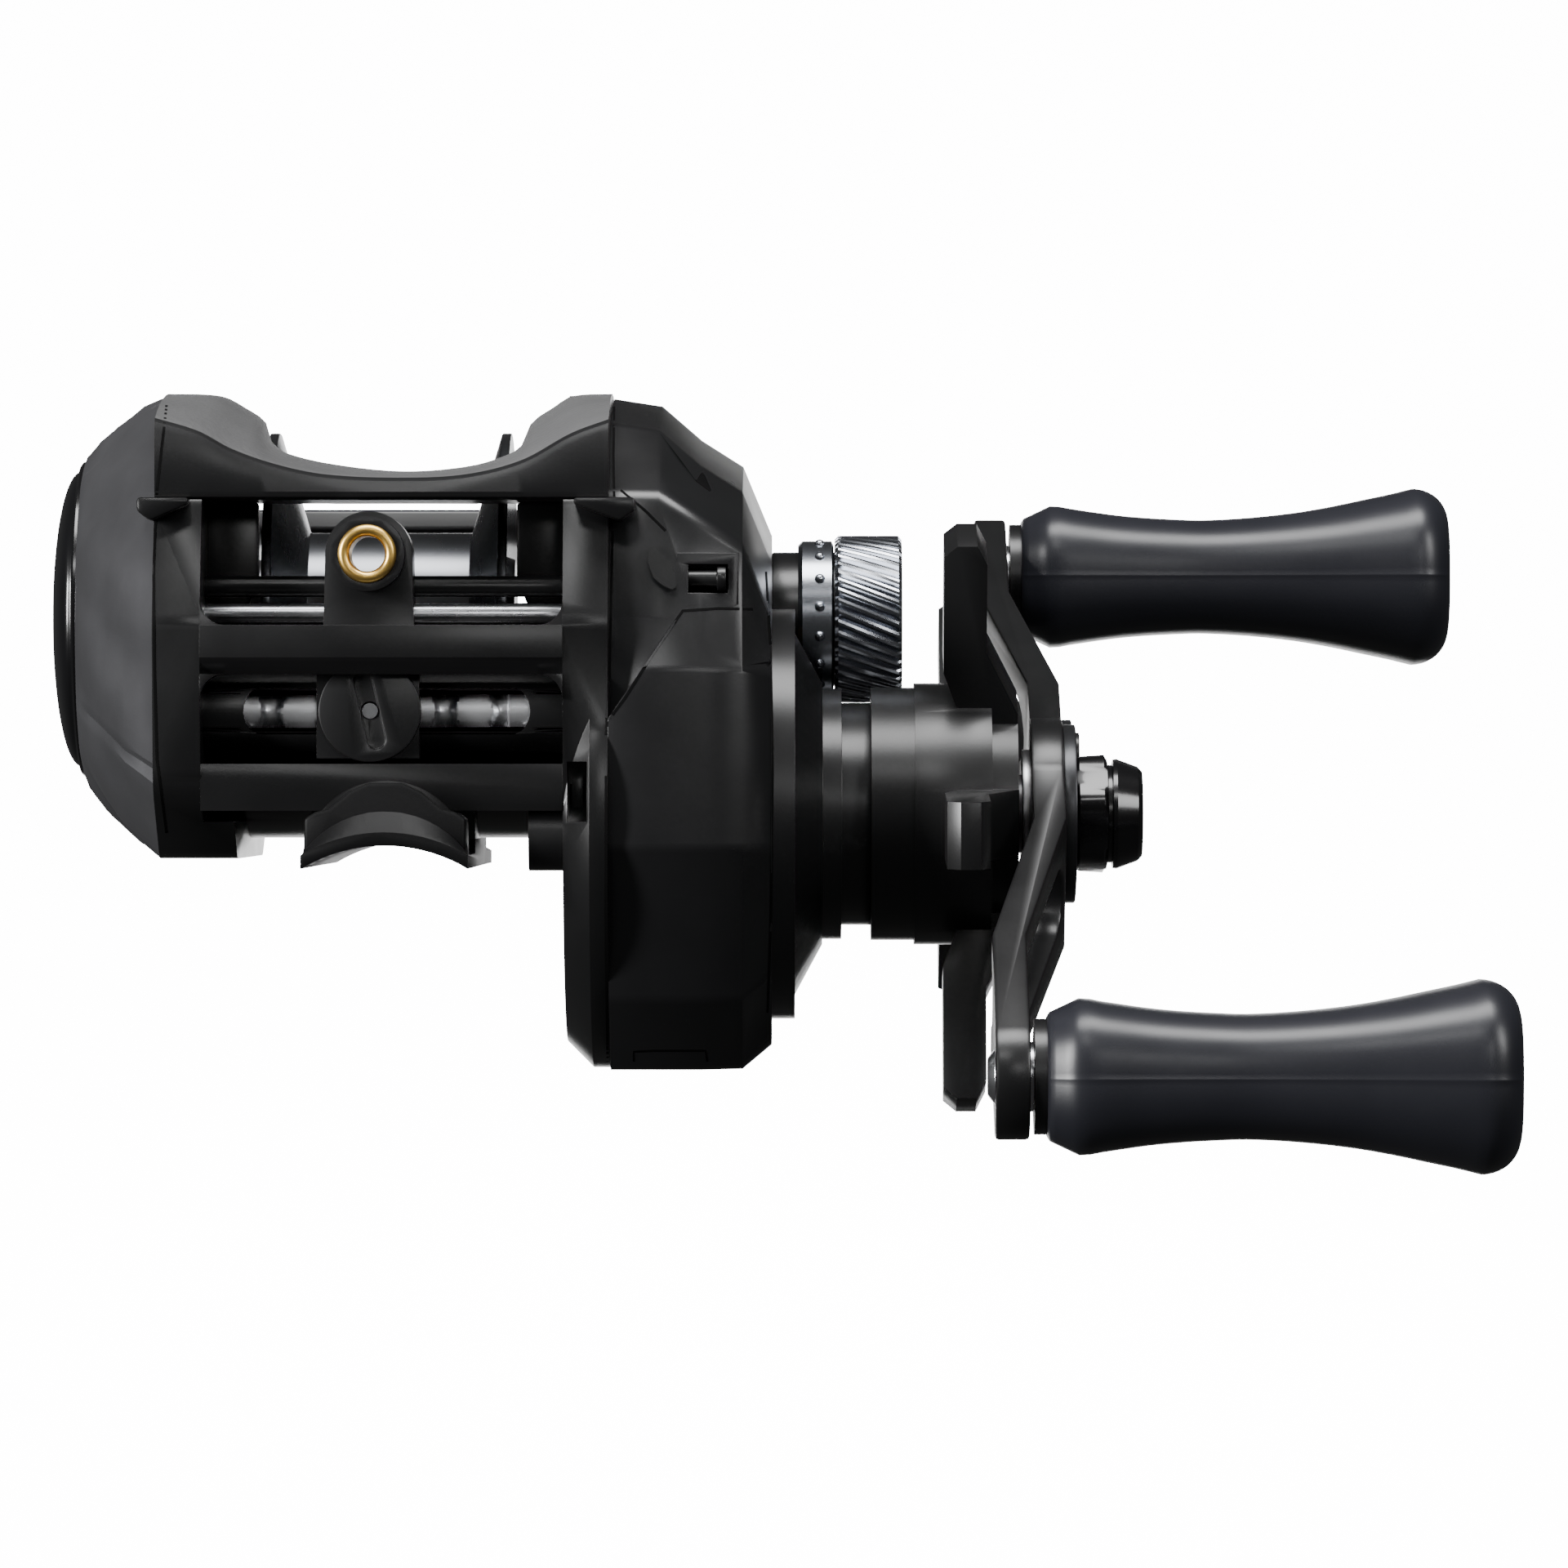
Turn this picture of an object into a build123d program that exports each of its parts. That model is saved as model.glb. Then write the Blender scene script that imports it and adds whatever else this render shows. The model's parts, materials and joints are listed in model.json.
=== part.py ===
from build123d import *
import math
import os

# Low-profile baitcasting reel, left-hand retrieve. Millimetres, +Z up, +X towards the handle, -Y towards
# the rod tip. The origin is the middle of the foot's saddle: X = 0 and Y = 0 below the spool axis.

# ---- driving dimensions ----
run_gap = 0.05            # radial clearance of a running fit
body_gap = 0.3            # gap between curved faces of neighbouring bodies

frame_left = -20.85       # seam with the palm-side plate
frame_right = 19.85       # seam with the gear-side cover
window_left = -16.6       # inner faces of the side plates
window_right = 15.8

spool_y, spool_z = 0.0, 20.8
drive_y, drive_z = -9.0, 2.76
worm_y, worm_z = -24.0, 12.05

body_bottom = -1.25
body_top = 41.4
nose_y = -31.5            # front of the body
tail_y = 32.0             # back of the body
gearbox_bottom = -20.5
palm_depth = 8.05         # palm-side plate, seam to disc seat
cover_depth = 14.65       # gear-side cover, seam to boss face
wall = 1.8

spool_flange_r = 17.25
spool_left, spool_right = -12.3, 10.7
arbor_r = 8.0
spool_shaft_r = 1.5
bearing_r = 4.0
bearing_width = 2.5
tunnel_r = spool_flange_r + 1.05
cradle_wall = 2.0

main_teeth, pinion_teeth = 84, 15
cog_teeth, worm_teeth = 30, 12
main_gear_x, main_gear_width = 27.2, 3.2
cog_x, cog_width = 21.2, 2.0
pinion_x = 20.3

drive_shaft_r = 3.0
boss_r = 18.8
neck_r = 10.2
roller_r = 7.0
sleeve_r = 4.0
star_skirt_r = 12.0
star_reach = 27.3
star_arm_width = 6.0
star_first_deg = 4.0
star_x, star_face_x = 43.55, 56.9

handle_x = 58.1           # inner face of the handle's hub
handle_thickness = 3.0
handle_reach = 47.5       # drive axis to knob axis
handle_drop = 4.15        # how far the arms sweep back towards the reel
handle_angle_deg = 28.6   # the near arm points this far below the front
knob_length = 41.0
knob_shaft_r = 2.0
nut_flats = 10.0

cap_r = 7.75
cap_x, cap_end_x = 36.9, 46.5

worm_r = 2.8
tube_r = 3.8
slot_half = 1.65
rod_r = 0.95
upper_rod_z = 23.3
lower_rod_z = 20.8
guide_x = -1.7
guide_half = 4.6
ring_z = 26.1
ring_bore_r = 1.75
ring_r = 2.65
ring_front_y = -30.3

visor_z = 31.0            # underside of the visor
visor_back_y = -6.0
bar_top_z, bar_bottom_z = 19.7, 15.3
bar_back_y = -27.2
lower_top_z, lower_bottom_z = 7.3, 3.1

foot_length = 64.0
foot_width = 14.9
foot_front_y = -34.0
saddle_r = 14.5
foot_screw_y = 11.0
foot_screw_r = 1.1

thumb_y, thumb_z = 28.0, 30.2
thumb_travel = 4.0

# ---- derived places and axes ----
spool_at = (spool_y, spool_z)
drive_at = (drive_y, drive_z)
worm_at = (worm_y, worm_z)
spool_axis = Axis((0, spool_y, spool_z), (1, 0, 0))
gear_centres = math.dist(spool_at, drive_at)
worm_centres = math.dist(worm_at, drive_at)
to_spool_deg = math.degrees(math.atan2(spool_z - drive_z, spool_y - drive_y))
to_worm_deg = math.degrees(math.atan2(worm_z - drive_z, worm_y - drive_y))
gearbox_r = drive_z - gearbox_bottom
axial = Plane.XZ          # sketch plane of turned pieces: local x = X, local y = Z
BOTTOM = (Align.CENTER, Align.CENTER, Align.MIN)

os.makedirs("parts", exist_ok=True)


def bar(at, start, end, radius, mode=Mode.ADD):
    """Round bar along X from start to end, about the (Y, Z) axis at."""
    with Locations(Plane.YZ.offset(start) * Pos(at[0], at[1])):
        Cylinder(radius, end - start, align=BOTTOM, mode=mode)


def cone(at, start, end, start_r, end_r, mode=Mode.ADD):
    """Cone along X from start to end."""
    with Locations(Plane.YZ.offset(start) * Pos(at[0], at[1])):
        Cone(start_r, end_r, end - start, align=BOTTOM, mode=mode)


def block(x, y, z, mode=Mode.ADD):
    """Box between pairs of coordinates."""
    with Locations(((x[0] + x[1]) / 2, (y[0] + y[1]) / 2, (z[0] + z[1]) / 2)):
        Box(x[1] - x[0], y[1] - y[0], z[1] - z[0], mode=mode)


def body_points(scale=1.0):
    """Side outline of the reel body in (Y, Z), scaled about its middle."""
    mid_y = (nose_y + tail_y) / 2
    mid_z = (body_bottom + body_top) / 2
    points = [
        (nose_y + 10, body_bottom),
        (nose_y + 1.5, 5.0),
        (nose_y, 20.0),
        (nose_y + 3.5, 31.5),
        (nose_y + 15, body_top - 1.2),
        (mid_y - 4, body_top),
        (mid_y + 10, body_top - 1.5),
        (tail_y - 6, 31.0),
        (tail_y, 17.0),
        (tail_y - 5, 4.0),
        (tail_y - 15, body_bottom),
    ]
    return [(mid_y + (y - mid_y) * scale, mid_z + (z - mid_z) * scale) for y, z in points]


def gear_points(at, teeth, module, first_deg):
    """Outline of a spur gear in (Y, Z): straight-flanked teeth, one of them centred at first_deg."""
    pitch_r = module * teeth / 2
    levels = [(pitch_r - 0.8 * module, 0.27), (pitch_r + 0.6 * module, 0.12)]
    points = []
    for tooth in range(teeth):
        for (radius, share), side in ((levels[0], -1), (levels[1], -1), (levels[1], 1), (levels[0], 1)):
            angle = math.radians(first_deg + (tooth + side * share) * 360 / teeth)
            points.append((at[0] + radius * math.cos(angle), at[1] + radius * math.sin(angle)))
    return points


# ---- frame ----
with BuildPart() as frame:
    with BuildSketch(Plane.YZ.offset(frame_left)) as left_outline:
        with BuildLine():
            Polyline(*body_points(), close=True)
        make_face()
        fillet(left_outline.vertices(), 4)
    extrude(amount=window_left - frame_left)
    with BuildSketch(Plane.YZ.offset(window_right)) as right_outline:
        with BuildLine():
            Polyline(*body_points(), close=True)
        make_face()
        fillet(right_outline.vertices(), 4)
        with Locations(drive_at):
            Circle(gearbox_r)
    extrude(amount=frame_right - window_right)
    chamfer(frame.faces().filter_by(Axis.X).sort_by(Axis.X)[-2].edges().sort_by(Axis.Z)[0], 2.4)
    # cradle under the spool, pad over the foot and floor below the line guide
    with BuildSketch(Plane.YZ.offset(window_left)):
        with Locations(spool_at):
            Circle(tunnel_r + cradle_wall)
        with Locations((0, bar_top_z)):
            Rectangle(4 * tail_y, 2 * body_top, align=(Align.CENTER, Align.MIN), mode=Mode.SUBTRACT)
    extrude(amount=window_right - window_left)
    block((-foot_width / 2, foot_width / 2), (-15, 15), (spool_z - tunnel_r - cradle_wall, 8))
    block((window_left, window_right), (nose_y + 1.5, -14), (lower_bottom_z, lower_top_z))
    bar(spool_at, frame_left, window_right, tunnel_r, mode=Mode.SUBTRACT)
    passage_y = (bar_back_y, worm_y + tube_r + 2.4)
    block((window_left, window_right), passage_y, (lower_top_z, bar_top_z), mode=Mode.SUBTRACT)
    # front cross bar, undercut behind its lower edge for the pawl cap
    with BuildSketch(Plane.YZ.offset(window_left)):
        with BuildLine():
            Polyline(
                (nose_y + 1.2, bar_bottom_z),
                (nose_y, bar_bottom_z + 1.5),
                (nose_y, bar_top_z),
                (bar_back_y, bar_top_z),
                (bar_back_y, bar_bottom_z + 2.0),
                (nose_y + 2.2, bar_bottom_z + 1.7),
                (nose_y + 2.2, bar_bottom_z),
                close=True,
            )
        make_face()
    extrude(amount=window_right - window_left)
    # seats: visor, shafts, rods, level-wind tube, thumb bar slots
    block((frame_left, frame_right), (-50, visor_back_y), (visor_z, 50), mode=Mode.SUBTRACT)
    bar(spool_at, window_right, frame_right, bearing_r - 0.8, mode=Mode.SUBTRACT)
    bar(spool_at, frame_right - bearing_width, frame_right, bearing_r, mode=Mode.SUBTRACT)
    bar(drive_at, frame_right - bearing_width, frame_right, bearing_r, mode=Mode.SUBTRACT)
    bar(worm_at, frame_left + 1.5, frame_right, tube_r, mode=Mode.SUBTRACT)
    for rod_z in (upper_rod_z, lower_rod_z):
        bar((worm_y, rod_z), window_left - 2, window_right + 2, rod_r, mode=Mode.SUBTRACT)
    thumb_slot_z = (thumb_z - thumb_travel - 2, thumb_z + 2)
    block((window_left - 2, window_left), (thumb_y - 2.2, thumb_y + 2.2), thumb_slot_z, mode=Mode.SUBTRACT)
    block((window_right, frame_right), (thumb_y - 2.2, thumb_y + 2.2), thumb_slot_z, mode=Mode.SUBTRACT)
    for side in (-1, 1):
        with Locations((0, side * foot_screw_y, spool_z - tunnel_r - cradle_wall)):
            Cylinder(foot_screw_r, 5, align=BOTTOM, mode=Mode.SUBTRACT)
    # rounded inner corners of the front window and of the opening below the bar
    corner_r = 2.2
    with BuildSketch(Plane.XZ.offset(-nose_y - 2.3)):
        for corner_x, corner_z, up in (
            (window_left, bar_top_z, 1),
            (window_right, bar_top_z, 1),
            (window_left, bar_bottom_z, -1),
            (window_right, bar_bottom_z, -1),
        ):
            inward = 1 if corner_x < 0 else -1
            with Locations((corner_x + inward * corner_r / 2, corner_z + up * corner_r / 2)):
                Rectangle(corner_r, corner_r)
            with Locations((corner_x + inward * corner_r, corner_z + up * corner_r)):
                Circle(corner_r, mode=Mode.SUBTRACT)
    extrude(amount=2.1)
    # skirt of the palm-side plate under the body
    with BuildSketch(Plane.YZ.offset(window_left)) as skirt:
        with BuildLine():
            Polyline(*body_points(), close=True)
        make_face()
        fillet(skirt.vertices(), 4)
        with Locations((0, lower_bottom_z - 1.0)):
            Rectangle(200, 100, align=(Align.CENTER, Align.MIN), mode=Mode.SUBTRACT)
    extrude(amount=2.8)
    # pocket in the gear-side plate with a round-ended tab
    block(
        (window_right + 0.4, window_right + 2.2),
        (nose_y - 1, nose_y + 3.5),
        (lower_bottom_z - 1.0, lower_top_z + 0.2),
        mode=Mode.SUBTRACT,
    )
    with Locations((window_right + 1.3, nose_y + 3.5, lower_bottom_z + 1.6)):
        Cylinder(0.7, 1.6, align=(Align.CENTER, Align.CENTER, Align.CENTER))
        Box(1.0, 1.6, 2.6)
    # boss beside the lower front wall
    with Locations(Plane.YZ.offset(window_right - 3.1) * Pos(nose_y + 5, 0.7)):
        Cylinder(3.0, 3.1, align=BOTTOM)
frame.part.label = "frame"
export_step(frame.part, "parts/frame.step")

# ---- front visor: thumb rest over the line guide, scooped between two horns ----
horn_left, horn_right = frame_left + 4.4, frame_right - 3.4
scoop_left, scoop_right = horn_left + 4.5, horn_right - 3.9
scoop_z = 33.9
scoop_tilt = math.radians(6)
scoop_plane = Plane(
    origin=(0, visor_back_y - 9, 0),
    x_dir=(1, 0, 0),
    z_dir=(0, -math.cos(scoop_tilt), -math.sin(scoop_tilt)),
)
with BuildPart() as front_visor:
    with BuildSketch(Plane.YZ.offset(frame_left)) as visor_outline:
        with BuildLine():
            Polyline(*body_points(), close=True)
        make_face()
        fillet(visor_outline.vertices(), 4)
    extrude(amount=frame_right - frame_left)
    block((frame_left, frame_right), (-50, 50), (-10, visor_z), mode=Mode.SUBTRACT)
    block((frame_left, frame_right), (visor_back_y, 50), (-10, 50), mode=Mode.SUBTRACT)
    bar(spool_at, frame_left, window_right, tunnel_r, mode=Mode.SUBTRACT)
    with BuildSketch(scoop_plane):
        with BuildLine():
            Polyline(
                (scoop_right, scoop_z + 2.4),
                (horn_right, body_top - 0.3),
                (frame_right, body_top + 5),
                (frame_left, body_top + 5),
                (horn_left, body_top - 0.3),
                (scoop_left, scoop_z + 2.4),
            )
            ThreePointArc(
                (scoop_left, scoop_z + 2.4),
                ((scoop_left + scoop_right) / 2, scoop_z),
                (scoop_right, scoop_z + 2.4),
            )
        make_face()
    extrude(amount=30, both=True, mode=Mode.SUBTRACT)
front_visor.part.label = "front_visor"
export_step(front_visor.part, "parts/front_visor.step")

# ---- reel foot: crescent plate with a raised front ramp and a pad that takes the screws ----
foot_back_y = foot_front_y + foot_length
foot_half = foot_width / 2
foot_tip = 1.2
pad_z = spool_z - tunnel_r - cradle_wall
ramp_y = nose_y + 1.5
saddle_drop = saddle_r - math.sqrt(saddle_r**2 - foot_half**2)


def crescent_points(rise):
    """Ends and middle of the foot's section in (X, Z): saddle below, crown above."""
    return (
        ((-foot_half, -saddle_drop), (0, 0), (foot_half, -saddle_drop)),
        ((foot_half, -saddle_drop + foot_tip), (0, rise), (-foot_half, -saddle_drop + foot_tip)),
    )


with BuildPart() as reel_foot:
    with BuildSketch(Plane.XZ.offset(-foot_back_y)):
        saddle, crown = crescent_points(foot_tip)
        with BuildLine():
            ThreePointArc(*saddle)
            Line(saddle[2], crown[0])
            ThreePointArc(*crown)
            Line(crown[2], saddle[0])
        make_face()
    extrude(amount=foot_length)
    for section_y, section_tip in ((foot_front_y, foot_tip), (ramp_y, lower_top_z - 1.5)):
        with BuildSketch(Plane.XZ.offset(-section_y)):
            saddle, crown = crescent_points(section_tip)
            with BuildLine():
                ThreePointArc(*saddle)
                Line(saddle[2], crown[0])
                ThreePointArc(*crown)
                Line(crown[2], saddle[0])
            make_face()
    loft()
    block((-foot_half, foot_half), (-15, 15), (-saddle_drop, pad_z))
    # nothing of the pad stands above the frame's seat, and the saddle stays open
    block((-foot_half, foot_half), (ramp_y, foot_back_y), (pad_z, 10), mode=Mode.SUBTRACT)
    with Locations(Plane.XZ.offset(-foot_back_y) * Pos(0, -saddle_r)):
        Cylinder(saddle_r, foot_length, align=BOTTOM, mode=Mode.SUBTRACT)
    for side in (-1, 1):
        with Locations((0, side * foot_screw_y, 0)):
            Cylinder(foot_screw_r, 10, mode=Mode.SUBTRACT)
            Cylinder(foot_screw_r + 0.9, 0.6, mode=Mode.SUBTRACT)
reel_foot.part.label = "reel_foot"
export_step(reel_foot.part, "parts/reel_foot.step")

with BuildPart() as foot_screws:
    for side in (-1, 1):
        with Locations((0, side * foot_screw_y, 0.05)):
            Cylinder(foot_screw_r, 5.0, align=BOTTOM)
foot_screws.part.label = "foot_screws"
export_step(foot_screws.part, "parts/foot_screws.step")

# ---- palm-side plate: a tapering shell, narrowing towards its disc ----
palm_scales = [(0.0, 1.0), (1.95, 0.97), (4.2, 0.89), (6.45, 0.806), (palm_depth, 0.70)]
palm_face_x = frame_left - palm_depth
dial_r = 7.0
bearing_boss_r = 5.6
with BuildPart() as palm_side_plate:
    for depth, scale in palm_scales:
        with BuildSketch(Plane.YZ.offset(frame_left - depth)) as palm_section:
            with BuildLine():
                Polyline(*body_points(scale), close=True)
            make_face()
            fillet(palm_section.vertices(), 4 * scale)
    loft()
    for depth, scale in palm_scales[:-1]:
        with BuildSketch(Plane.YZ.offset(frame_left - depth)) as palm_hollow:
            with BuildLine():
                Polyline(*body_points(scale - 0.1), close=True)
            make_face()
            fillet(palm_hollow.vertices(), 4 * scale - 0.4)
    loft(mode=Mode.SUBTRACT)
    bar(spool_at, palm_face_x + 1.0, window_left - 0.4, bearing_boss_r)
    bar(spool_at, window_left - 0.4 - bearing_width, window_left, bearing_r, mode=Mode.SUBTRACT)
    bar(spool_at, palm_face_x - 1, window_left, bearing_r - 1.4, mode=Mode.SUBTRACT)
palm_side_plate.part.label = "palm_side_plate"
export_step(palm_side_plate.part, "parts/palm_side_plate.step")

palm_disc_r = 15.4
palm_disc_depth = 3.3
with BuildPart() as palm_disc:
    with BuildSketch(axial):
        with BuildLine():
            Polyline(
                (palm_face_x, spool_z),
                (palm_face_x, spool_z + palm_disc_r),
                (palm_face_x - 0.9, spool_z + palm_disc_r),
            )
            ThreePointArc(
                (palm_face_x - 0.9, spool_z + palm_disc_r),
                (palm_face_x - 2.35, spool_z + 9.2),
                (palm_face_x - palm_disc_depth, spool_z),
            )
            Line((palm_face_x - palm_disc_depth, spool_z), (palm_face_x, spool_z))
        make_face()
    revolve(axis=spool_axis)
    bar(spool_at, palm_face_x - 5, palm_face_x - 1, dial_r + 0.1, mode=Mode.SUBTRACT)
    bar(spool_at, palm_face_x - 5, palm_face_x, 1.5 + run_gap, mode=Mode.SUBTRACT)
palm_disc.part.label = "palm_disc"
export_step(palm_disc.part, "parts/palm_disc.step")

with BuildPart() as brake_dial:
    bar(spool_at, palm_face_x - palm_disc_depth + 0.1, palm_face_x - 1 - run_gap, dial_r)
    bar(spool_at, palm_face_x - 2, palm_face_x + 3, 1.5)
    block(
        (palm_face_x - palm_disc_depth, palm_face_x - palm_disc_depth + 1.0),
        (-dial_r - 1, dial_r + 1),
        (spool_z - 1.3, spool_z + 1.3),
        mode=Mode.SUBTRACT,
    )
brake_dial.part.label = "brake_dial"
export_step(brake_dial.part, "parts/brake_dial.step")

carrier_x, carrier_width = frame_left - 1.5, 3.0
magnet_ring_r = 9.6
magnet_r = 1.5
magnet_depth = 1.2
with BuildPart() as magnet_carrier:
    bar(spool_at, carrier_x, carrier_x + carrier_width, magnet_ring_r + 2.4)
    bar(spool_at, carrier_x, carrier_x + carrier_width, bearing_boss_r + run_gap, mode=Mode.SUBTRACT)
    with Locations(Plane.YZ.offset(carrier_x + carrier_width - magnet_depth) * Pos(*spool_at)):
        with PolarLocations(magnet_ring_r, 8):
            Cylinder(magnet_r, magnet_depth, align=BOTTOM, mode=Mode.SUBTRACT)
magnet_carrier.part.label = "magnet_carrier"
export_step(magnet_carrier.part, "parts/magnet_carrier.step")

with BuildPart() as brake_magnets:
    with Locations(Plane.YZ.offset(carrier_x + carrier_width - magnet_depth) * Pos(*spool_at)):
        with PolarLocations(magnet_ring_r, 8):
            Cylinder(magnet_r, magnet_depth, align=BOTTOM)
brake_magnets.part.label = "brake_magnets"
export_step(brake_magnets.part, "parts/brake_magnets.step")

# ---- gear-side cover: shell over the gearbox, drive boss, cone and neck ----
cover_face_x = frame_right + cover_depth


def cover_points(top_z, tail, front, low):
    """Side outline of the gear-side cover in (Y, Z) for a station whose top is at top_z."""
    return [
        (drive_y - 9, low),
        (front + 4.5, low + 6.5),
        (front - 0.7, drive_z - 3),
        (front - 0.5, drive_z + 13),
        (front + 3.5, min(31.5, top_z - 8)),
        (front + 13, top_z - 3),
        (0.0, top_z),
        (tail * 0.55, top_z - 3.5),
        (tail * 0.9, (top_z + 15.0) / 2),
        (tail, 15.0),
        (tail - 7, 0.0),
        (drive_y + 9, low),
    ]


cover_stations = [
    (0.0, (body_top - 0.1, tail_y - 1, nose_y + 0.9, gearbox_bottom)),
    (4.5, (body_top - 0.8, tail_y - 1.5, nose_y + 0.9, gearbox_bottom)),
    (8.2, (body_top - 4.0, tail_y - 4, nose_y + 0.9, gearbox_bottom)),
    (12.0, (body_top - 6.4, tail_y - 8, nose_y + 1.6, gearbox_bottom + 0.1)),
    (cover_depth, (body_top - 12.8, tail_y - 11, nose_y + 4.0, gearbox_bottom + 2.3)),
]
boss_end, cone_end, ring_end, neck_end = 36.6, 39.1, 40.85, star_x + 1.0
with BuildPart() as gear_side_cover:
    for depth, station in cover_stations:
        with BuildSketch(Plane.YZ.offset(frame_right + depth)) as cover_section:
            with BuildLine():
                Polyline(*cover_points(*station), close=True)
            make_face()
            fillet(cover_section.vertices(), 2.5)
    loft(ruled=True)
    for depth, station in cover_stations[:-1]:
        with BuildSketch(Plane.YZ.offset(frame_right + depth)) as cover_hollow:
            with BuildLine():
                Polyline(*cover_points(*station), close=True)
            make_face()
            fillet(cover_hollow.vertices(), 2.5)
            offset(amount=-wall, mode=Mode.REPLACE)
    loft(ruled=True, mode=Mode.SUBTRACT)
    # ledge: the gearbox drum stands proud of the upper cover
    with BuildSketch(Plane.XZ.offset(-nose_y - 1.6)):
        with BuildLine():
            Polyline(
                (frame_right, 11.3),
                (frame_right + 6.5, 20.9),
                (cover_face_x, 21.1),
                (cover_face_x, body_top),
                (frame_right, body_top),
                close=True,
            )
        make_face()
    extrude(amount=10, mode=Mode.SUBTRACT)
    bar(drive_at, cover_face_x - wall, boss_end, boss_r)
    cone(drive_at, boss_end, cone_end, boss_r - 2.2, neck_r + 1.8)
    bar(drive_at, cone_end, ring_end, neck_r + 1.3)
    bar(drive_at, ring_end, neck_end, neck_r)
    bar(drive_at, cover_face_x - 2 * wall, boss_end - wall, boss_r - wall, mode=Mode.SUBTRACT)
    bar(drive_at, cover_face_x - wall, neck_end - 2, roller_r, mode=Mode.SUBTRACT)
    bar(drive_at, cover_face_x, neck_end, sleeve_r + body_gap, mode=Mode.SUBTRACT)
    bar(spool_at, cover_face_x, neck_end, cap_r + 0.55, mode=Mode.SUBTRACT)
    bar(spool_at, cover_face_x - 2 * wall, cover_face_x, 5.0, mode=Mode.SUBTRACT)
    # room for the worm gear
    worm_tip_r = worm_centres * worm_teeth / (cog_teeth + worm_teeth) * (1 + 1.2 / worm_teeth)
    bar(worm_at, frame_right, cog_x + cog_width + 0.5, worm_tip_r + body_gap, mode=Mode.SUBTRACT)
    # notch with the exposed cover screw
    block((26.0, 31.5), (nose_y + 3.0, nose_y + 6.0), (21.6, 26.2))
    block((27.0, 30.6), (nose_y - 5, nose_y + 5.0), (22.6, 25.2), mode=Mode.SUBTRACT)
gear_side_cover.part.label = "gear_side_cover"
export_step(gear_side_cover.part, "parts/gear_side_cover.step")

with BuildPart() as cast_thread_sleeve:
    bar(spool_at, cover_face_x - 2.4, cover_face_x, 5.0)
    bar(spool_at, cover_face_x, cap_x + 6, 6.2)
    bar(spool_at, cover_face_x - 2.4, cap_x + 6, 3.9, mode=Mode.SUBTRACT)
cast_thread_sleeve.part.label = "cast_thread_sleeve"
export_step(cast_thread_sleeve.part, "parts/cast_thread_sleeve.step")

with BuildPart() as cast_control_cap:
    bar(spool_at, cap_x, cap_x + 3.35, cap_r - 0.35)
    bar(spool_at, cap_x + 3.35, cap_end_x - 0.5, cap_r)
    cone(spool_at, cap_end_x - 0.5, cap_end_x, cap_r, cap_r - 0.5)
    bar(spool_at, cap_x, cap_x + 6.6, 6.2 + run_gap, mode=Mode.SUBTRACT)
cast_control_cap.part.label = "cast_control_cap"
export_step(cast_control_cap.part, "parts/cast_control_cap.step")

with BuildPart() as cast_friction_disc:
    bar(spool_at, cap_x + 6, cap_x + 6.6, 3.4)
cast_friction_disc.part.label = "cast_friction_disc"
export_step(cast_friction_disc.part, "parts/cast_friction_disc.step")

# ---- spool group ----
with BuildPart() as spool:
    with BuildSketch(axial):
        with BuildLine():
            Polyline(
                (spool_left, spool_z + spool_shaft_r),
                (spool_left, spool_z + 5.5),
                (spool_left + 2.4, spool_z + arbor_r - 1.6),
                (spool_left + 0.3, spool_z + spool_flange_r),
                (spool_left + 1.2, spool_z + spool_flange_r),
                (spool_left + 4.0, spool_z + arbor_r),
                (spool_right - 4.0, spool_z + arbor_r),
                (spool_right - 1.2, spool_z + spool_flange_r),
                (spool_right - 0.3, spool_z + spool_flange_r),
                (spool_right - 2.4, spool_z + arbor_r - 1.6),
                (spool_right, spool_z + 5.5),
                (spool_right, spool_z + spool_shaft_r),
                close=True,
            )
        make_face()
    revolve(axis=spool_axis)
spool.part.label = "spool"
export_step(spool.part, "parts/spool.step")

pin_x, pin_r, pin_half = pinion_x + 1.0, 0.8, 3.2
palm_bearing_x = window_left - 0.4 - bearing_width
gear_bearing_x = frame_right - bearing_width
with BuildPart() as spool_shaft:
    bar(spool_at, palm_bearing_x - 1.0, cap_x + 5.6, spool_shaft_r)
    with Locations(Pos(pin_x, spool_y, spool_z)):
        Cylinder(pin_r, 20, mode=Mode.SUBTRACT)
spool_shaft.part.label = "spool_shaft"
export_step(spool_shaft.part, "parts/spool_shaft.step")

with BuildPart() as spool_pin:
    with Locations(Pos(pin_x, spool_y, spool_z)):
        Cylinder(pin_r, 2 * pin_half)
spool_pin.part.label = "spool_pin"
export_step(spool_pin.part, "parts/spool_pin.step")

with BuildPart() as brake_rotor:
    bar(spool_at, spool_left - 1.2, spool_left, 5.5)
    bar(spool_at, spool_left - 2.6, spool_left - 1.2, magnet_ring_r + 2.2)
    bar(spool_at, spool_left - 2.6, spool_left, spool_shaft_r, mode=Mode.SUBTRACT)
brake_rotor.part.label = "brake_rotor"
export_step(brake_rotor.part, "parts/brake_rotor.step")

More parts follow.
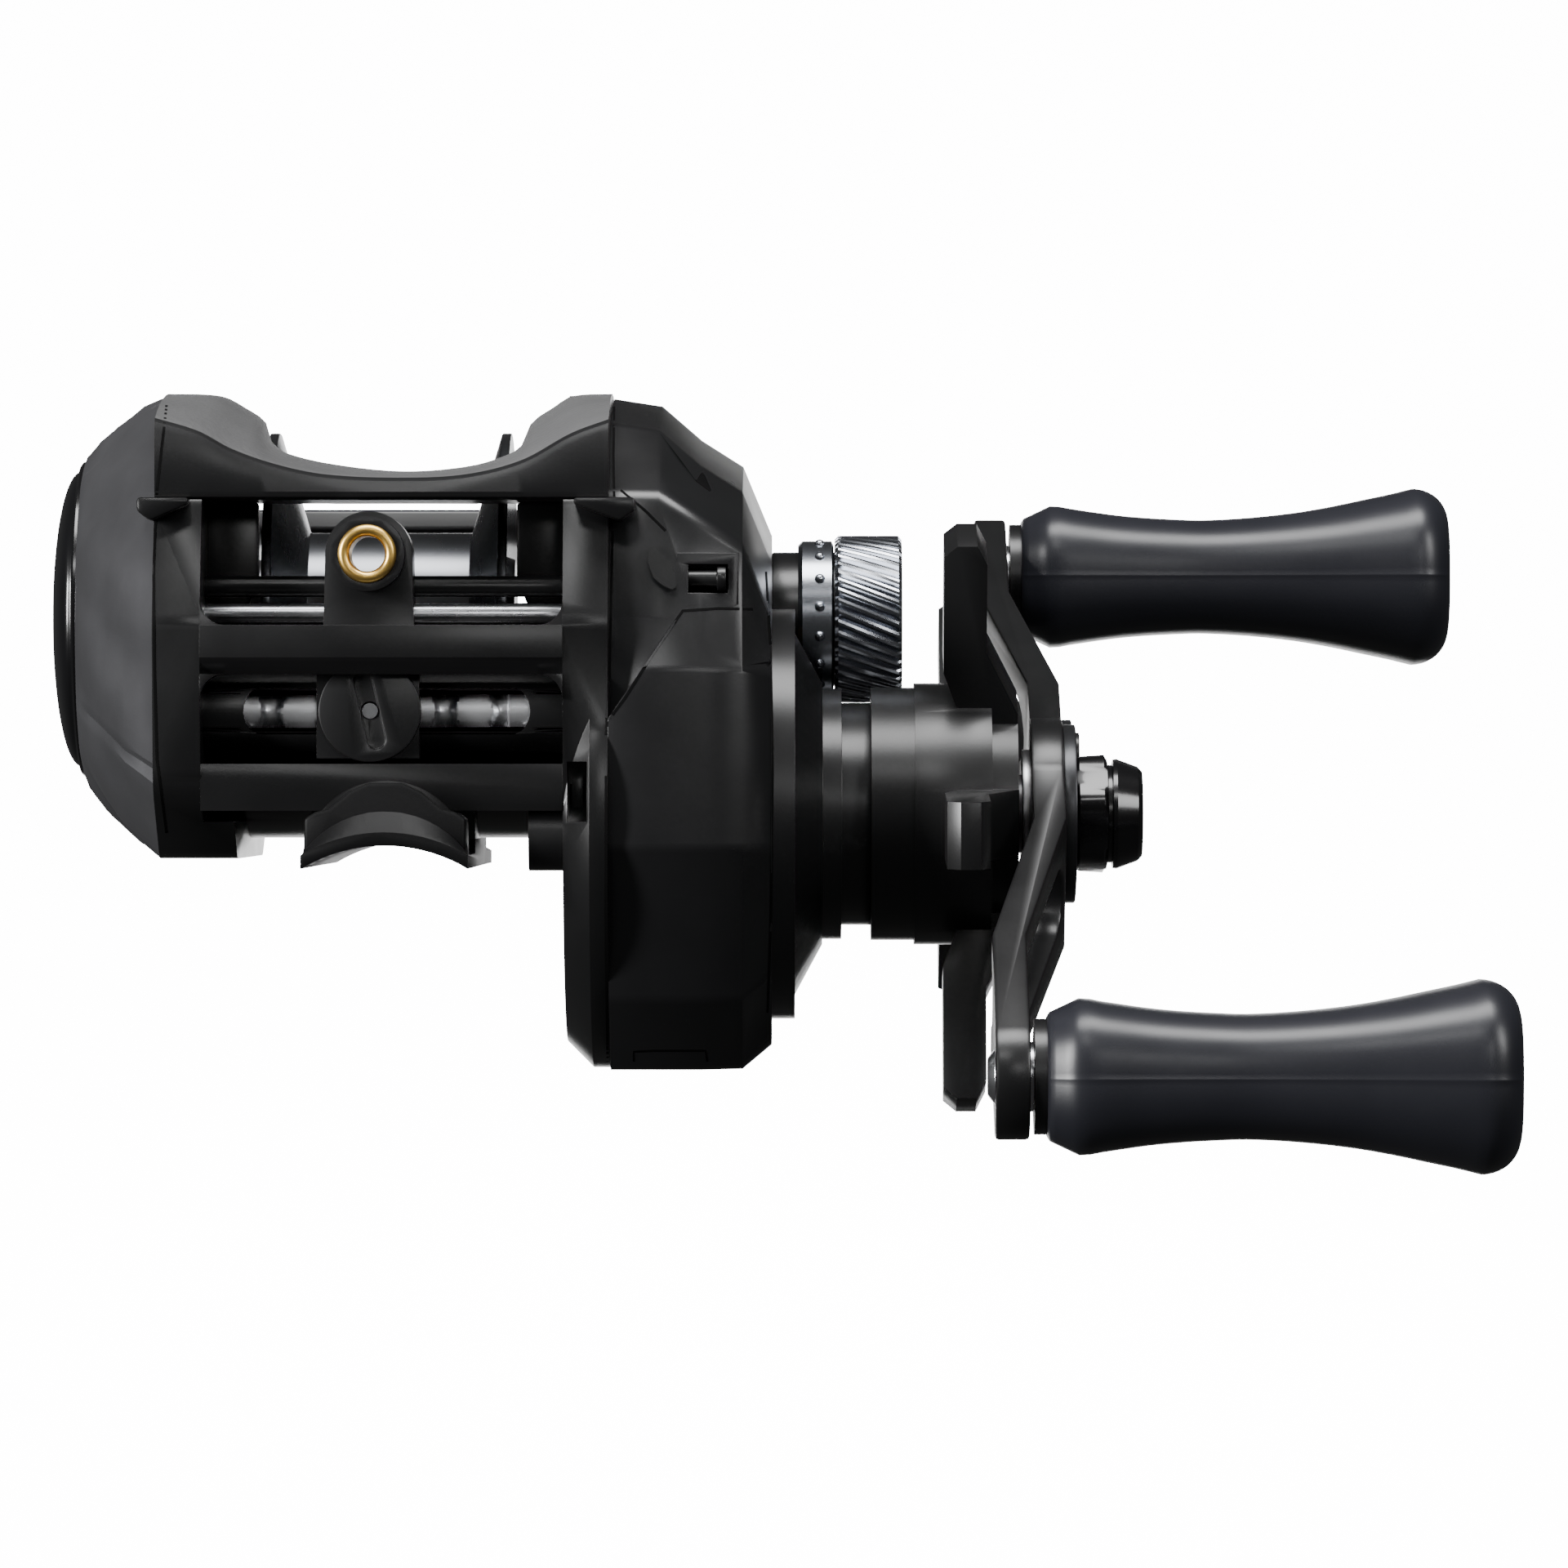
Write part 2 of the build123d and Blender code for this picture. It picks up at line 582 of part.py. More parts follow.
for name, start, at, bore_r in (
    ("palm_spool_bearing", palm_bearing_x, spool_at, spool_shaft_r),
    ("gear_spool_bearing", gear_bearing_x, spool_at, spool_shaft_r),
    ("drive_shaft_bearing", gear_bearing_x, drive_at, drive_shaft_r - 0.6),
):
    with BuildPart() as bearing:
        bar(at, start, start + bearing_width, bearing_r)
        bar(at, start, start + bearing_width, bore_r + run_gap, mode=Mode.SUBTRACT)
        for face_x in (start, start + bearing_width - 0.3):
            bar(at, face_x, face_x + 0.3, bearing_r - 0.5, mode=Mode.SUBTRACT)
            bar(at, face_x, face_x + 0.3, bore_r + 0.6)
            bar(at, face_x, face_x + 0.3, bore_r + run_gap, mode=Mode.SUBTRACT)
    bearing.part.label = name
    export_step(bearing.part, f"parts/{name}.step")

# ---- clutch: pinion on the spool shaft, moved by the yoke ----
head_length, groove_width = 2.6, 1.6
pinion_module = 2 * gear_centres / (main_teeth + pinion_teeth)
teeth_x = pinion_x + head_length + groove_width
teeth_end = main_gear_x + main_gear_width + 0.5
yoke_x = pinion_x + head_length + run_gap
yoke_thickness = groove_width - 2 * run_gap
yoke_pin_y, yoke_pin_z, yoke_pin_r = 8.0, spool_z + 2.2, 0.8
with BuildPart() as pinion_gear:
    bar(spool_at, pinion_x, teeth_x, 2.5)
    bar(spool_at, pinion_x, pinion_x + head_length, 3.9)
    with BuildSketch(Plane.YZ.offset(teeth_x)):
        with BuildLine():
            first_deg = to_spool_deg + 180 + 180 / pinion_teeth
            Polyline(*gear_points(spool_at, pinion_teeth, pinion_module, first_deg), close=True)
        make_face()
    extrude(amount=teeth_end - teeth_x)
    bar(spool_at, pinion_x, teeth_end, spool_shaft_r + run_gap, mode=Mode.SUBTRACT)
    block(
        (pinion_x, pinion_x + head_length - 0.5),
        (spool_y - pin_r - 0.15, spool_y + pin_r + 0.15),
        (spool_z - 5, spool_z + 5),
        mode=Mode.SUBTRACT,
    )
pinion_gear.part.label = "pinion_gear"
export_step(pinion_gear.part, "parts/pinion_gear.step")

with BuildPart() as clutch_yoke:
    block((yoke_x, yoke_x + yoke_thickness), (-10.0, 10.0), (spool_z - 0.5, spool_z + 5.2))
    bar(spool_at, yoke_x, yoke_x + yoke_thickness, 2.5 + 2 * run_gap, mode=Mode.SUBTRACT)
    for side in (-1, 1):
        pin_at = (side * yoke_pin_y, yoke_pin_z)
        bar(pin_at, yoke_x, yoke_x + yoke_thickness, yoke_pin_r + run_gap, mode=Mode.SUBTRACT)
clutch_yoke.part.label = "clutch_yoke"
export_step(clutch_yoke.part, "parts/clutch_yoke.step")

with BuildPart() as yoke_pins:
    for side in (-1, 1):
        bar((side * yoke_pin_y, yoke_pin_z), frame_right, main_gear_x - body_gap, yoke_pin_r)
yoke_pins.part.label = "yoke_pins"
export_step(yoke_pins.part, "parts/yoke_pins.step")

# ---- drive train on the handle's shaft ----
flange_x = main_gear_x - 1.7
upper_drag_x = main_gear_x + main_gear_width
pressure_x = upper_drag_x + 0.8
sleeve_x, sleeve_end = pressure_x + 0.8, neck_end + body_gap
nut_x = handle_x + handle_thickness + 1.2
with BuildPart() as drive_shaft:
    bar(drive_at, gear_bearing_x, frame_right, drive_shaft_r - 0.6)
    bar(drive_at, frame_right, nut_x + 2.0, drive_shaft_r)
    bar(drive_at, flange_x, flange_x + 0.9, 9.0)
drive_shaft.part.label = "drive_shaft"
export_step(drive_shaft.part, "parts/drive_shaft.step")

cog_module = 2 * worm_centres / (cog_teeth + worm_teeth)
for name, teeth, module, start, width in (
    ("main_gear", main_teeth, pinion_module, main_gear_x, main_gear_width),
    ("levelwind_cog", cog_teeth, cog_module, cog_x, cog_width),
):
    with BuildPart() as wheel:
        with BuildSketch(Plane.YZ.offset(start)):
            with BuildLine():
                first_deg = to_spool_deg if name == "main_gear" else to_worm_deg
                Polyline(*gear_points(drive_at, teeth, module, first_deg), close=True)
            make_face()
        extrude(amount=width)
        bar(drive_at, start, start + width, drive_shaft_r, mode=Mode.SUBTRACT)
    wheel.part.label = name
    export_step(wheel.part, f"parts/{name}.step")

with BuildPart() as ratchet_wheel:
    with BuildSketch(Plane.YZ.offset(cog_x + cog_width + 0.5)):
        with Locations(drive_at):
            Circle(8.0)
            Circle(drive_shaft_r, mode=Mode.SUBTRACT)
            with PolarLocations(8.0, 10):
                Rectangle(2.0, 2.4, rotation=25, mode=Mode.SUBTRACT)
    extrude(amount=flange_x - cog_x - cog_width - 0.5)
ratchet_wheel.part.label = "ratchet_wheel"
export_step(ratchet_wheel.part, "parts/ratchet_wheel.step")

with BuildPart() as drag_washers:
    for start in (flange_x + 0.9, upper_drag_x):
        bar(drive_at, start, start + 0.8, 11.0)
        bar(drive_at, start, start + 0.8, drive_shaft_r, mode=Mode.SUBTRACT)
drag_washers.part.label = "drag_washers"
export_step(drag_washers.part, "parts/drag_washers.step")

with BuildPart() as pressure_plate:
    bar(drive_at, pressure_x, sleeve_x, 11.0)
    bar(drive_at, pressure_x, sleeve_x, drive_shaft_r, mode=Mode.SUBTRACT)
pressure_plate.part.label = "pressure_plate"
export_step(pressure_plate.part, "parts/pressure_plate.step")

with BuildPart() as clutch_sleeve:
    bar(drive_at, sleeve_x, sleeve_end, sleeve_r)
    bar(drive_at, sleeve_x, sleeve_end, drive_shaft_r, mode=Mode.SUBTRACT)
clutch_sleeve.part.label = "clutch_sleeve"
export_step(clutch_sleeve.part, "parts/clutch_sleeve.step")

roller_x, roller_end = cover_face_x + 0.5, star_x - 1.2
with BuildPart() as roller_clutch:
    bar(drive_at, roller_x, roller_end, roller_r)
    bar(drive_at, roller_x, roller_end, sleeve_r + run_gap, mode=Mode.SUBTRACT)
roller_clutch.part.label = "roller_clutch"
export_step(roller_clutch.part, "parts/roller_clutch.step")

with BuildPart() as drag_springs:
    for step in range(2):
        start = sleeve_end + step
        cone(drive_at, start, start + 1.0, 7.0, 5.0)
        bar(drive_at, start, start + 1.0, drive_shaft_r, mode=Mode.SUBTRACT)
drag_springs.part.label = "drag_springs"
export_step(drag_springs.part, "parts/drag_springs.step")

# ---- drag star: skirt, hub plate and five swept arms ----
star_plate_x = star_face_x - 2.4
star_hub_x = sleeve_end + 2.0 + body_gap
with BuildPart() as drag_star:
    bar(drive_at, star_x, star_x + 3.95, star_skirt_r - 0.4)
    bar(drive_at, star_x + 3.95, star_plate_x, star_skirt_r)
    bar(drive_at, star_x, star_plate_x - 2.0, neck_r + body_gap, mode=Mode.SUBTRACT)
    bar(drive_at, star_plate_x, star_face_x, star_skirt_r - 1.5)
    bar(drive_at, star_hub_x, star_plate_x, 6.0)
    for arm in range(5):
        direction = math.radians(180 + star_first_deg + arm * 72)
        radial = Vector(0, math.cos(direction), math.sin(direction))
        arm_normal = radial.cross(Vector(1, 0, 0))
        with BuildSketch(Plane(origin=(0, drive_y, drive_z), x_dir=radial, z_dir=arm_normal)):
            with BuildLine():
                Polyline(
                    (4, star_plate_x - 2),
                    (10, star_plate_x - 2.6),
                    (15, star_plate_x - 4.4),
                    (star_reach - 1, star_plate_x - 4.4),
                    (star_reach, star_plate_x - 3.2),
                    (star_reach, star_plate_x - 1.4),
                    (star_reach - 1.8, star_plate_x - 0.5),
                    (17, star_plate_x - 0.5),
                    (11, star_face_x),
                    (4, star_face_x),
                    close=True,
                )
            make_face()
        extrude(amount=star_arm_width / 2, both=True)
    bar(drive_at, star_x, star_face_x, drive_shaft_r + run_gap, mode=Mode.SUBTRACT)
    bar(drive_at, star_x, star_hub_x, 7.0 + body_gap, mode=Mode.SUBTRACT)
drag_star.part.label = "drag_star"
export_step(drag_star.part, "parts/drag_star.step")

# ---- handle: hub, two swept and slotted arms ----
arm_cos = math.cos(math.radians(handle_angle_deg))
arm_sin = math.sin(math.radians(handle_angle_deg))
along = Vector(0, -arm_cos, -arm_sin)
hub_r, end_r = 8.8, 5.5
bend_in, bend_out = 13.0, 33.0
handle_end = handle_reach + end_r
handle_back = handle_x - handle_drop
handle_profile = Plane(origin=(0, drive_y, drive_z), x_dir=along, z_dir=along.cross(Vector(1, 0, 0)))
handle_plan = Plane(origin=(handle_back, drive_y, drive_z), x_dir=along, z_dir=(1, 0, 0))
plan_depth = handle_drop + handle_thickness
with BuildPart() as handle_plate:
    with BuildSketch(handle_profile):
        with BuildLine():
            inner = [(bend_in, handle_x), (bend_out, handle_back), (handle_end, handle_back)]
            outer = [(t, x + handle_thickness) for t, x in inner]
            right_side = inner + outer[::-1]
            left_side = [(-t, x) for t, x in reversed(right_side)]
            Polyline(*right_side, *left_side, close=True)
        make_face()
    extrude(amount=hub_r, both=True)
    with BuildSketch(handle_plan):
        Circle(hub_r)
        for side in (-1, 1):
            with BuildLine():
                Polyline(
                    (0, -7.4),
                    (side * handle_reach, -end_r),
                    (side * handle_reach, end_r),
                    (0, 7.4),
                    close=True,
                )
            make_face()
        with Locations((-handle_reach, 0), (handle_reach, 0)):
            Circle(end_r)
        with Locations(((bend_in + bend_out) / 2 + 2, 0), (-(bend_in + bend_out) / 2 - 2, 0)):
            SlotOverall(22, 6.4, mode=Mode.SUBTRACT)
        with Locations((-handle_reach, 0), (handle_reach, 0)):
            Circle(knob_shaft_r, mode=Mode.SUBTRACT)
        Circle(drive_shaft_r, mode=Mode.SUBTRACT)
    extrude(amount=plan_depth, mode=Mode.INTERSECT)
handle_plate.part.label = "handle_plate"
export_step(handle_plate.part, "parts/handle_plate.step")

with BuildPart() as handle_washer:
    bar(drive_at, star_face_x + 0.1, handle_x - 0.7, 3.6)
    bar(drive_at, handle_x - 0.7, handle_x, 5.9)
    bar(drive_at, star_face_x, handle_x, drive_shaft_r, mode=Mode.SUBTRACT)
handle_washer.part.label = "handle_washer"
export_step(handle_washer.part, "parts/handle_washer.step")

keeper_x = handle_x + handle_thickness
keeper_screw_t = -11.5
keeper_screw_at = (drive_y - arm_cos * keeper_screw_t, drive_z - arm_sin * keeper_screw_t)
with BuildPart() as nut_keeper:
    with BuildSketch(Plane(origin=(keeper_x, drive_y, drive_z), x_dir=along, z_dir=(1, 0, 0))):
        Circle(8.2)
        with Locations((keeper_screw_t, 0)):
            Circle(3.2)
            Rectangle(-keeper_screw_t, 6.4, align=(Align.MIN, Align.CENTER))
            Circle(1.0, mode=Mode.SUBTRACT)
        Circle(drive_shaft_r, mode=Mode.SUBTRACT)
    extrude(amount=nut_x - keeper_x)
nut_keeper.part.label = "nut_keeper"
export_step(nut_keeper.part, "parts/nut_keeper.step")

with BuildPart() as keeper_screw:
    bar(keeper_screw_at, keeper_x, nut_x, 1.0)
    bar(keeper_screw_at, nut_x, nut_x + 0.73, 2.0)
keeper_screw.part.label = "keeper_screw"
export_step(keeper_screw.part, "parts/keeper_screw.step")

with BuildPart() as handle_nut:
    with BuildSketch(Plane.YZ.offset(nut_x)):
        with Locations(drive_at):
            RegularPolygon(nut_flats / 2, 6, major_radius=False)
    extrude(amount=3.0)
    bar(drive_at, nut_x + 3.0, nut_x + 3.4, nut_flats / 2 - 0.3)
    cone(drive_at, nut_x + 3.4, nut_x + 6.15, nut_flats / 2, nut_flats / 2 - 1.0)
    bar(drive_at, nut_x, nut_x + 2.0, drive_shaft_r, mode=Mode.SUBTRACT)
handle_nut.part.label = "handle_nut"
export_step(handle_nut.part, "parts/handle_nut.step")

# ---- knobs: waisted grips on riveted shafts, one per arm ----
knob_seat_x = handle_back + handle_thickness
base_x, grip_x = knob_seat_x + 0.4, knob_seat_x + 1.5
knob_sections = [
    # share of the length, half height, half width
    (0.0, 5.6, 6.2),
    (0.07, 6.8, 7.6),
    (0.2, 6.05, 7.5),
    (0.42, 5.45, 7.2),
    (0.6, 5.95, 7.7),
    (0.78, 7.2, 8.8),
    (0.92, 8.5, 9.9),
    (1.0, 5.2, 6.4),
]
for name, side in (("near", 1), ("far", -1)):
    knob_at = (drive_y - side * arm_cos * handle_reach, drive_z - side * arm_sin * handle_reach)
    with BuildPart() as knob:
        for share, half_height, half_width in knob_sections:
            with BuildSketch(Plane.YZ.offset(grip_x + share * knob_length)):
                with Locations(knob_at):
                    Ellipse(half_width, half_height)
        loft()
        bar(knob_at, grip_x, grip_x + knob_length - 3.0, knob_shaft_r + run_gap, mode=Mode.SUBTRACT)
        bar(knob_at, grip_x + knob_length - 1.6, grip_x + knob_length, 4.0, mode=Mode.SUBTRACT)
    knob.part.label = f"knob_{name}"
    export_step(knob.part, f"parts/knob_{name}.step")
    with BuildPart() as knob_cap:
        bar(knob_at, grip_x + knob_length - 1.6, grip_x + knob_length + 0.1, 4.0)
    knob_cap.part.label = f"knob_cap_{name}"
    export_step(knob_cap.part, f"parts/knob_cap_{name}.step")
    with BuildPart() as knob_base:
        bar(knob_at, base_x, grip_x, 5.05)
        bar(knob_at, base_x, grip_x, knob_shaft_r + run_gap, mode=Mode.SUBTRACT)
    knob_base.part.label = f"knob_base_{name}"
    export_step(knob_base.part, f"parts/knob_base_{name}.step")

with BuildPart() as knob_shafts:
    for side in (-1, 1):
        knob_at = (drive_y - side * arm_cos * handle_reach, drive_z - side * arm_sin * handle_reach)
        bar(knob_at, handle_back, grip_x + knob_length - 3.4, knob_shaft_r)
        cone(knob_at, handle_back - 0.65, handle_back, 1.6, 2.45)
knob_shafts.part.label = "knob_shafts"
export_step(knob_shafts.part, "parts/knob_shafts.step")

with BuildPart() as knob_washers:
    for side in (-1, 1):
        knob_at = (drive_y - side * arm_cos * handle_reach, drive_z - side * arm_sin * handle_reach)
        bar(knob_at, knob_seat_x, base_x - 0.05, 3.05)
        bar(knob_at, knob_seat_x, base_x - 0.05, knob_shaft_r, mode=Mode.SUBTRACT)
knob_washers.part.label = "knob_washers"
export_step(knob_washers.part, "parts/knob_washers.step")

# ---- level wind: slotted tube, worm, rods and the guide that rides on them ----
tube_left, tube_right = frame_left + 1.5, frame_right
slot_left, slot_right = -12.9, 12.8
worm_end = frame_right + 1.0 + cog_width
with BuildPart() as worm_tube:
    bar(worm_at, tube_left, tube_right, tube_r)
    bar(worm_at, tube_left + 1.0, tube_right, worm_r + body_gap, mode=Mode.SUBTRACT)
    with BuildSketch(Plane.XZ.offset(-worm_y + worm_r)):
        with Locations(((slot_left + slot_right) / 2, worm_z)):
            SlotOverall(slot_right - slot_left, 2 * slot_half)
    extrude(amount=4, mode=Mode.SUBTRACT)
worm_tube.part.label = "worm_tube"
export_step(worm_tube.part, "parts/worm_tube.step")

with BuildPart() as worm_bushings:
    for start, end in ((tube_left + 1.0, window_left), (window_right, tube_right)):
        bar(worm_at, start, end, worm_r + body_gap)
        bar(worm_at, start, end, 1.5 + run_gap, mode=Mode.SUBTRACT)
worm_bushings.part.label = "worm_bushings"
export_step(worm_bushings.part, "parts/worm_bushings.step")

with BuildPart() as worm_shaft:
    bar(worm_at, tube_left + 1.2, worm_end, 1.5)
    bar(worm_at, window_left + 0.2, window_right - 0.2, worm_r)
worm_shaft.part.label = "worm_shaft"
export_step(worm_shaft.part, "parts/worm_shaft.step")

with BuildPart() as worm_gear:
    with BuildSketch(Plane.YZ.offset(cog_x)):
        with BuildLine():
            first_deg = to_worm_deg + 180 + 180 / worm_teeth
            Polyline(*gear_points(worm_at, worm_teeth, cog_module, first_deg), close=True)
        make_face()
    extrude(amount=cog_width)
    bar(worm_at, cog_x, cog_x + cog_width, 1.5, mode=Mode.SUBTRACT)
worm_gear.part.label = "worm_gear"
export_step(worm_gear.part, "parts/worm_gear.step")

for name, rod_z in (("upper_guide_rod", upper_rod_z), ("lower_guide_rod", lower_rod_z)):
    with BuildPart() as rod:
        bar((worm_y, rod_z), window_left - 2, window_right + 2, rod_r)
    rod.part.label = name
    export_step(rod.part, f"parts/{name}.step")

arch_front_y, arch_back_y = bar_back_y + body_gap, worm_y + 2.4
arch_r = 3.9
ring_back_y = worm_y - rod_r - 0.4
pawl_cap_r = 4.6
pawl_cap_x, pawl_cap_z = guide_x + 0.2, worm_z
pawl_cap_y = nose_y + 2.5
with BuildPart() as line_guide:
    # body round the tube
    block(
        (guide_x - guide_half, guide_x + guide_half),
        (worm_y - tube_r - 0.3, worm_y + tube_r + 1.2),
        (lower_top_z + 0.5, worm_z + tube_r + 1.0),
    )
    with Locations(Plane.XZ.offset(-worm_y) * Pos(pawl_cap_x, pawl_cap_z)):
        Cylinder(pawl_cap_r, worm_y - pawl_cap_y - 0.9, align=BOTTOM)
    # arch plate carrying the ring, pierced by both rods
    with BuildSketch(Plane.XZ.offset(-arch_back_y)):
        with Locations((guide_x, ring_z)):
            Circle(arch_r)
        with BuildLine():
            Polyline(
                (guide_x - 4.2, worm_z + tube_r),
                (guide_x - 4.0, ring_z - 4.6),
                (guide_x - arch_r, ring_z),
                (guide_x + arch_r, ring_z),
                (guide_x + 4.0, ring_z - 4.6),
                (guide_x + 4.2, worm_z + tube_r),
                close=True,
            )
        make_face()
    extrude(amount=arch_back_y - arch_front_y)
    with Locations(Plane.XZ.offset(-arch_front_y) * Pos(guide_x, ring_z)):
        Cylinder(ring_r + 0.7, arch_front_y - ring_front_y - 0.4, align=BOTTOM)
    with Locations(Plane.XZ.offset(-arch_back_y) * Pos(guide_x, ring_z)):
        Cylinder(ring_bore_r, 20, align=BOTTOM, mode=Mode.SUBTRACT)
    with Locations(Plane.XZ.offset(-ring_back_y) * Pos(guide_x, ring_z)):
        Cylinder(ring_r, 20, align=BOTTOM, mode=Mode.SUBTRACT)
    bar(worm_at, -20, 20, tube_r + run_gap, mode=Mode.SUBTRACT)
    for rod_z in (upper_rod_z, lower_rod_z):
        bar((worm_y, rod_z), -20, 20, rod_r + run_gap, mode=Mode.SUBTRACT)
    with Locations(Plane.XZ.offset(-worm_y) * Pos(pawl_cap_x, worm_z)):
        Cylinder(slot_half - 0.1, 20, align=BOTTOM, mode=Mode.SUBTRACT)
line_guide.part.label = "line_guide"
export_step(line_guide.part, "parts/line_guide.step")

with BuildPart() as guide_ring:
    with BuildSketch(Plane.XZ.offset(-ring_back_y)):
        with Locations((guide_x, ring_z)):
            Circle(ring_r)
            Circle(ring_bore_r, mode=Mode.SUBTRACT)
    extrude(amount=ring_back_y - ring_front_y)
guide_ring.part.label = "guide_ring"
export_step(guide_ring.part, "parts/guide_ring.step")

pawl_pin_r = 0.7
with BuildPart() as pawl:
    with Locations(Plane.XZ.offset(-(worm_y - worm_r - 0.25)) * Pos(pawl_cap_x, worm_z)):
        Cylinder(slot_half - 0.1, worm_y - worm_r - 0.25 - pawl_cap_y - 0.9, align=BOTTOM)
        Cylinder(pawl_pin_r, worm_y - worm_r - 0.25 - pawl_cap_y - 0.3, align=BOTTOM)
pawl.part.label = "pawl"
export_step(pawl.part, "parts/pawl.step")

with BuildPart() as pawl_cap:
    with Locations(Plane.XZ.offset(-(pawl_cap_y + 0.9)) * Pos(pawl_cap_x, pawl_cap_z)):
        Cylinder(pawl_cap_r, 0.9, align=BOTTOM)
        Cylinder(pawl_pin_r, 0.9, align=BOTTOM, mode=Mode.SUBTRACT)
    with BuildSketch(Plane.XZ.offset(-pawl_cap_y)):
        with Locations((pawl_cap_x, pawl_cap_z)):
            SlotOverall(7.0, 1.7, rotation=-77)
    extrude(amount=-0.45, mode=Mode.SUBTRACT)
pawl_cap.part.label = "pawl_cap"
export_step(pawl_cap.part, "parts/pawl_cap.step")

# ---- thumb bar between the side plates, behind the spool ----
with BuildPart() as thumb_bar:
    with BuildSketch(Plane.YZ.offset(window_left + body_gap)) as thumb_section:
        with BuildLine():
            Polyline(
                (thumb_y - 6.0, thumb_z - 0.6),
                (thumb_y - 5.0, thumb_z + 1.6),
                (thumb_y + 1.8, thumb_z - 0.2),
                (thumb_y + 1.8, thumb_z - 2.0),
                (thumb_y - 3.0, thumb_z - 1.8),
                close=True,
            )
        make_face()
        fillet(thumb_section.vertices(), 0.6)
    extrude(amount=window_right - window_left - 2 * body_gap)
    block(
        (window_left - 1.5, window_right + 3.0),
        (thumb_y - 1.8, thumb_y + 1.8),
        (thumb_z - 1.9, thumb_z - 0.4),
    )
thumb_bar.part.label = "thumb_bar"
export_step(thumb_bar.part, "parts/thumb_bar.step")

# ---- cover screws: one exposed flanged screw in the cover's notch, two from the frame's side ----
with BuildPart() as cover_screws:
    bar((nose_y + 3.4, 23.9), 27.0, 29.6, 0.75)
    bar((nose_y + 3.4, 23.9), 29.6, 30.4, 1.1)
cover_screws.part.label = "cover_screws"
export_step(cover_screws.part, "parts/cover_screws.step")
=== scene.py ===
import bpy
import bmesh
import json
import math
from mathutils import Matrix, Vector
from mathutils.bvhtree import BVHTree


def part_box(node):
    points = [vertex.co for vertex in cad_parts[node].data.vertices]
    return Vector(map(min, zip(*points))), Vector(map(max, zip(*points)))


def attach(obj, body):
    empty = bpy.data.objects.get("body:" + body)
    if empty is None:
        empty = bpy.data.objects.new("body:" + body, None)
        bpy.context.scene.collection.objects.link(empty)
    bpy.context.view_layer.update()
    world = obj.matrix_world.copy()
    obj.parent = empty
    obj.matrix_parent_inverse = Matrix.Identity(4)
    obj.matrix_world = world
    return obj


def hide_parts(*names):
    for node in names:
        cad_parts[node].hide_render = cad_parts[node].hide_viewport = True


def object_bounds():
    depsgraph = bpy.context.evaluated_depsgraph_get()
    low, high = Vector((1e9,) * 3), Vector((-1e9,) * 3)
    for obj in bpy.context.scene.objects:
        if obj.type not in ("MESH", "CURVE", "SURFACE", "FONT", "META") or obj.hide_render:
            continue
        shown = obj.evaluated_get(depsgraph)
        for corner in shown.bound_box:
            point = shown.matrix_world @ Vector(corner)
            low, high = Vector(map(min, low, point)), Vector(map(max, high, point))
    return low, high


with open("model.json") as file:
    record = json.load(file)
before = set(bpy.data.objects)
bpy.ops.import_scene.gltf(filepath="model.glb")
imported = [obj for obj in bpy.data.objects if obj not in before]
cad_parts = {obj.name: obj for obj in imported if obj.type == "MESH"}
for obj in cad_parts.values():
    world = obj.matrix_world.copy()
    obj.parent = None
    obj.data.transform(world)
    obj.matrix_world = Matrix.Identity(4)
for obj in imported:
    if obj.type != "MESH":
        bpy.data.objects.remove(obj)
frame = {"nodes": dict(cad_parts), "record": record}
cad_low, cad_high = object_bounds()
MM = 0.001  # sizes and outlines below are in millimetres, the scene is in metres

# ---- places read from the frame ----


def middle(node):
    """Centre of a node's box, in metres."""
    low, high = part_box(node)
    return (low + high) / 2


def box_mm(node):
    """Low and high corner of a node's box, in millimetres."""
    return (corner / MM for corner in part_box(node))


def axis_of(low, high):
    """Where the middle line of a box runs along X, as (y, z)."""
    return (low.y + high.y) / 2, (low.z + high.z) / 2


WORM = middle("worm_gear")
SPOOL_Z = middle("spool_shaft").z / MM  # the spool turns about X at this height
NODES = {subpart["node"]: subpart["material_slot"] for subpart in frame["record"]["subparts"]}
BODY_OF = {node: body for body, nodes in frame["record"]["behaviour"]["bodies"].items() for node in nodes}

# ---- materials ----


def node_group(name, inputs, outputs):
    """An empty shader group with its named sockets; returns the group and its two end nodes."""
    group = bpy.data.node_groups.new(name, "ShaderNodeTree")
    for label, kind, value in inputs:
        socket = group.interface.new_socket(label, in_out="INPUT", socket_type=kind)
        socket.default_value = value
    for label, kind in outputs:
        group.interface.new_socket(label, in_out="OUTPUT", socket_type=kind)
    return group, group.nodes.new("NodeGroupInput"), group.nodes.new("NodeGroupOutput")


def add(tree, kind, links=(), **values):
    """One node: values set its own properties or its inputs by name, links feed its inputs."""
    node = tree.nodes.new(kind)
    for label, value in values.items():
        if hasattr(node, label):
            setattr(node, label, value)
        else:
            node.inputs[label.replace("_", " ").title()].default_value = value
    for label, source in links:
        tree.links.new(source, node.inputs[label])
    return node


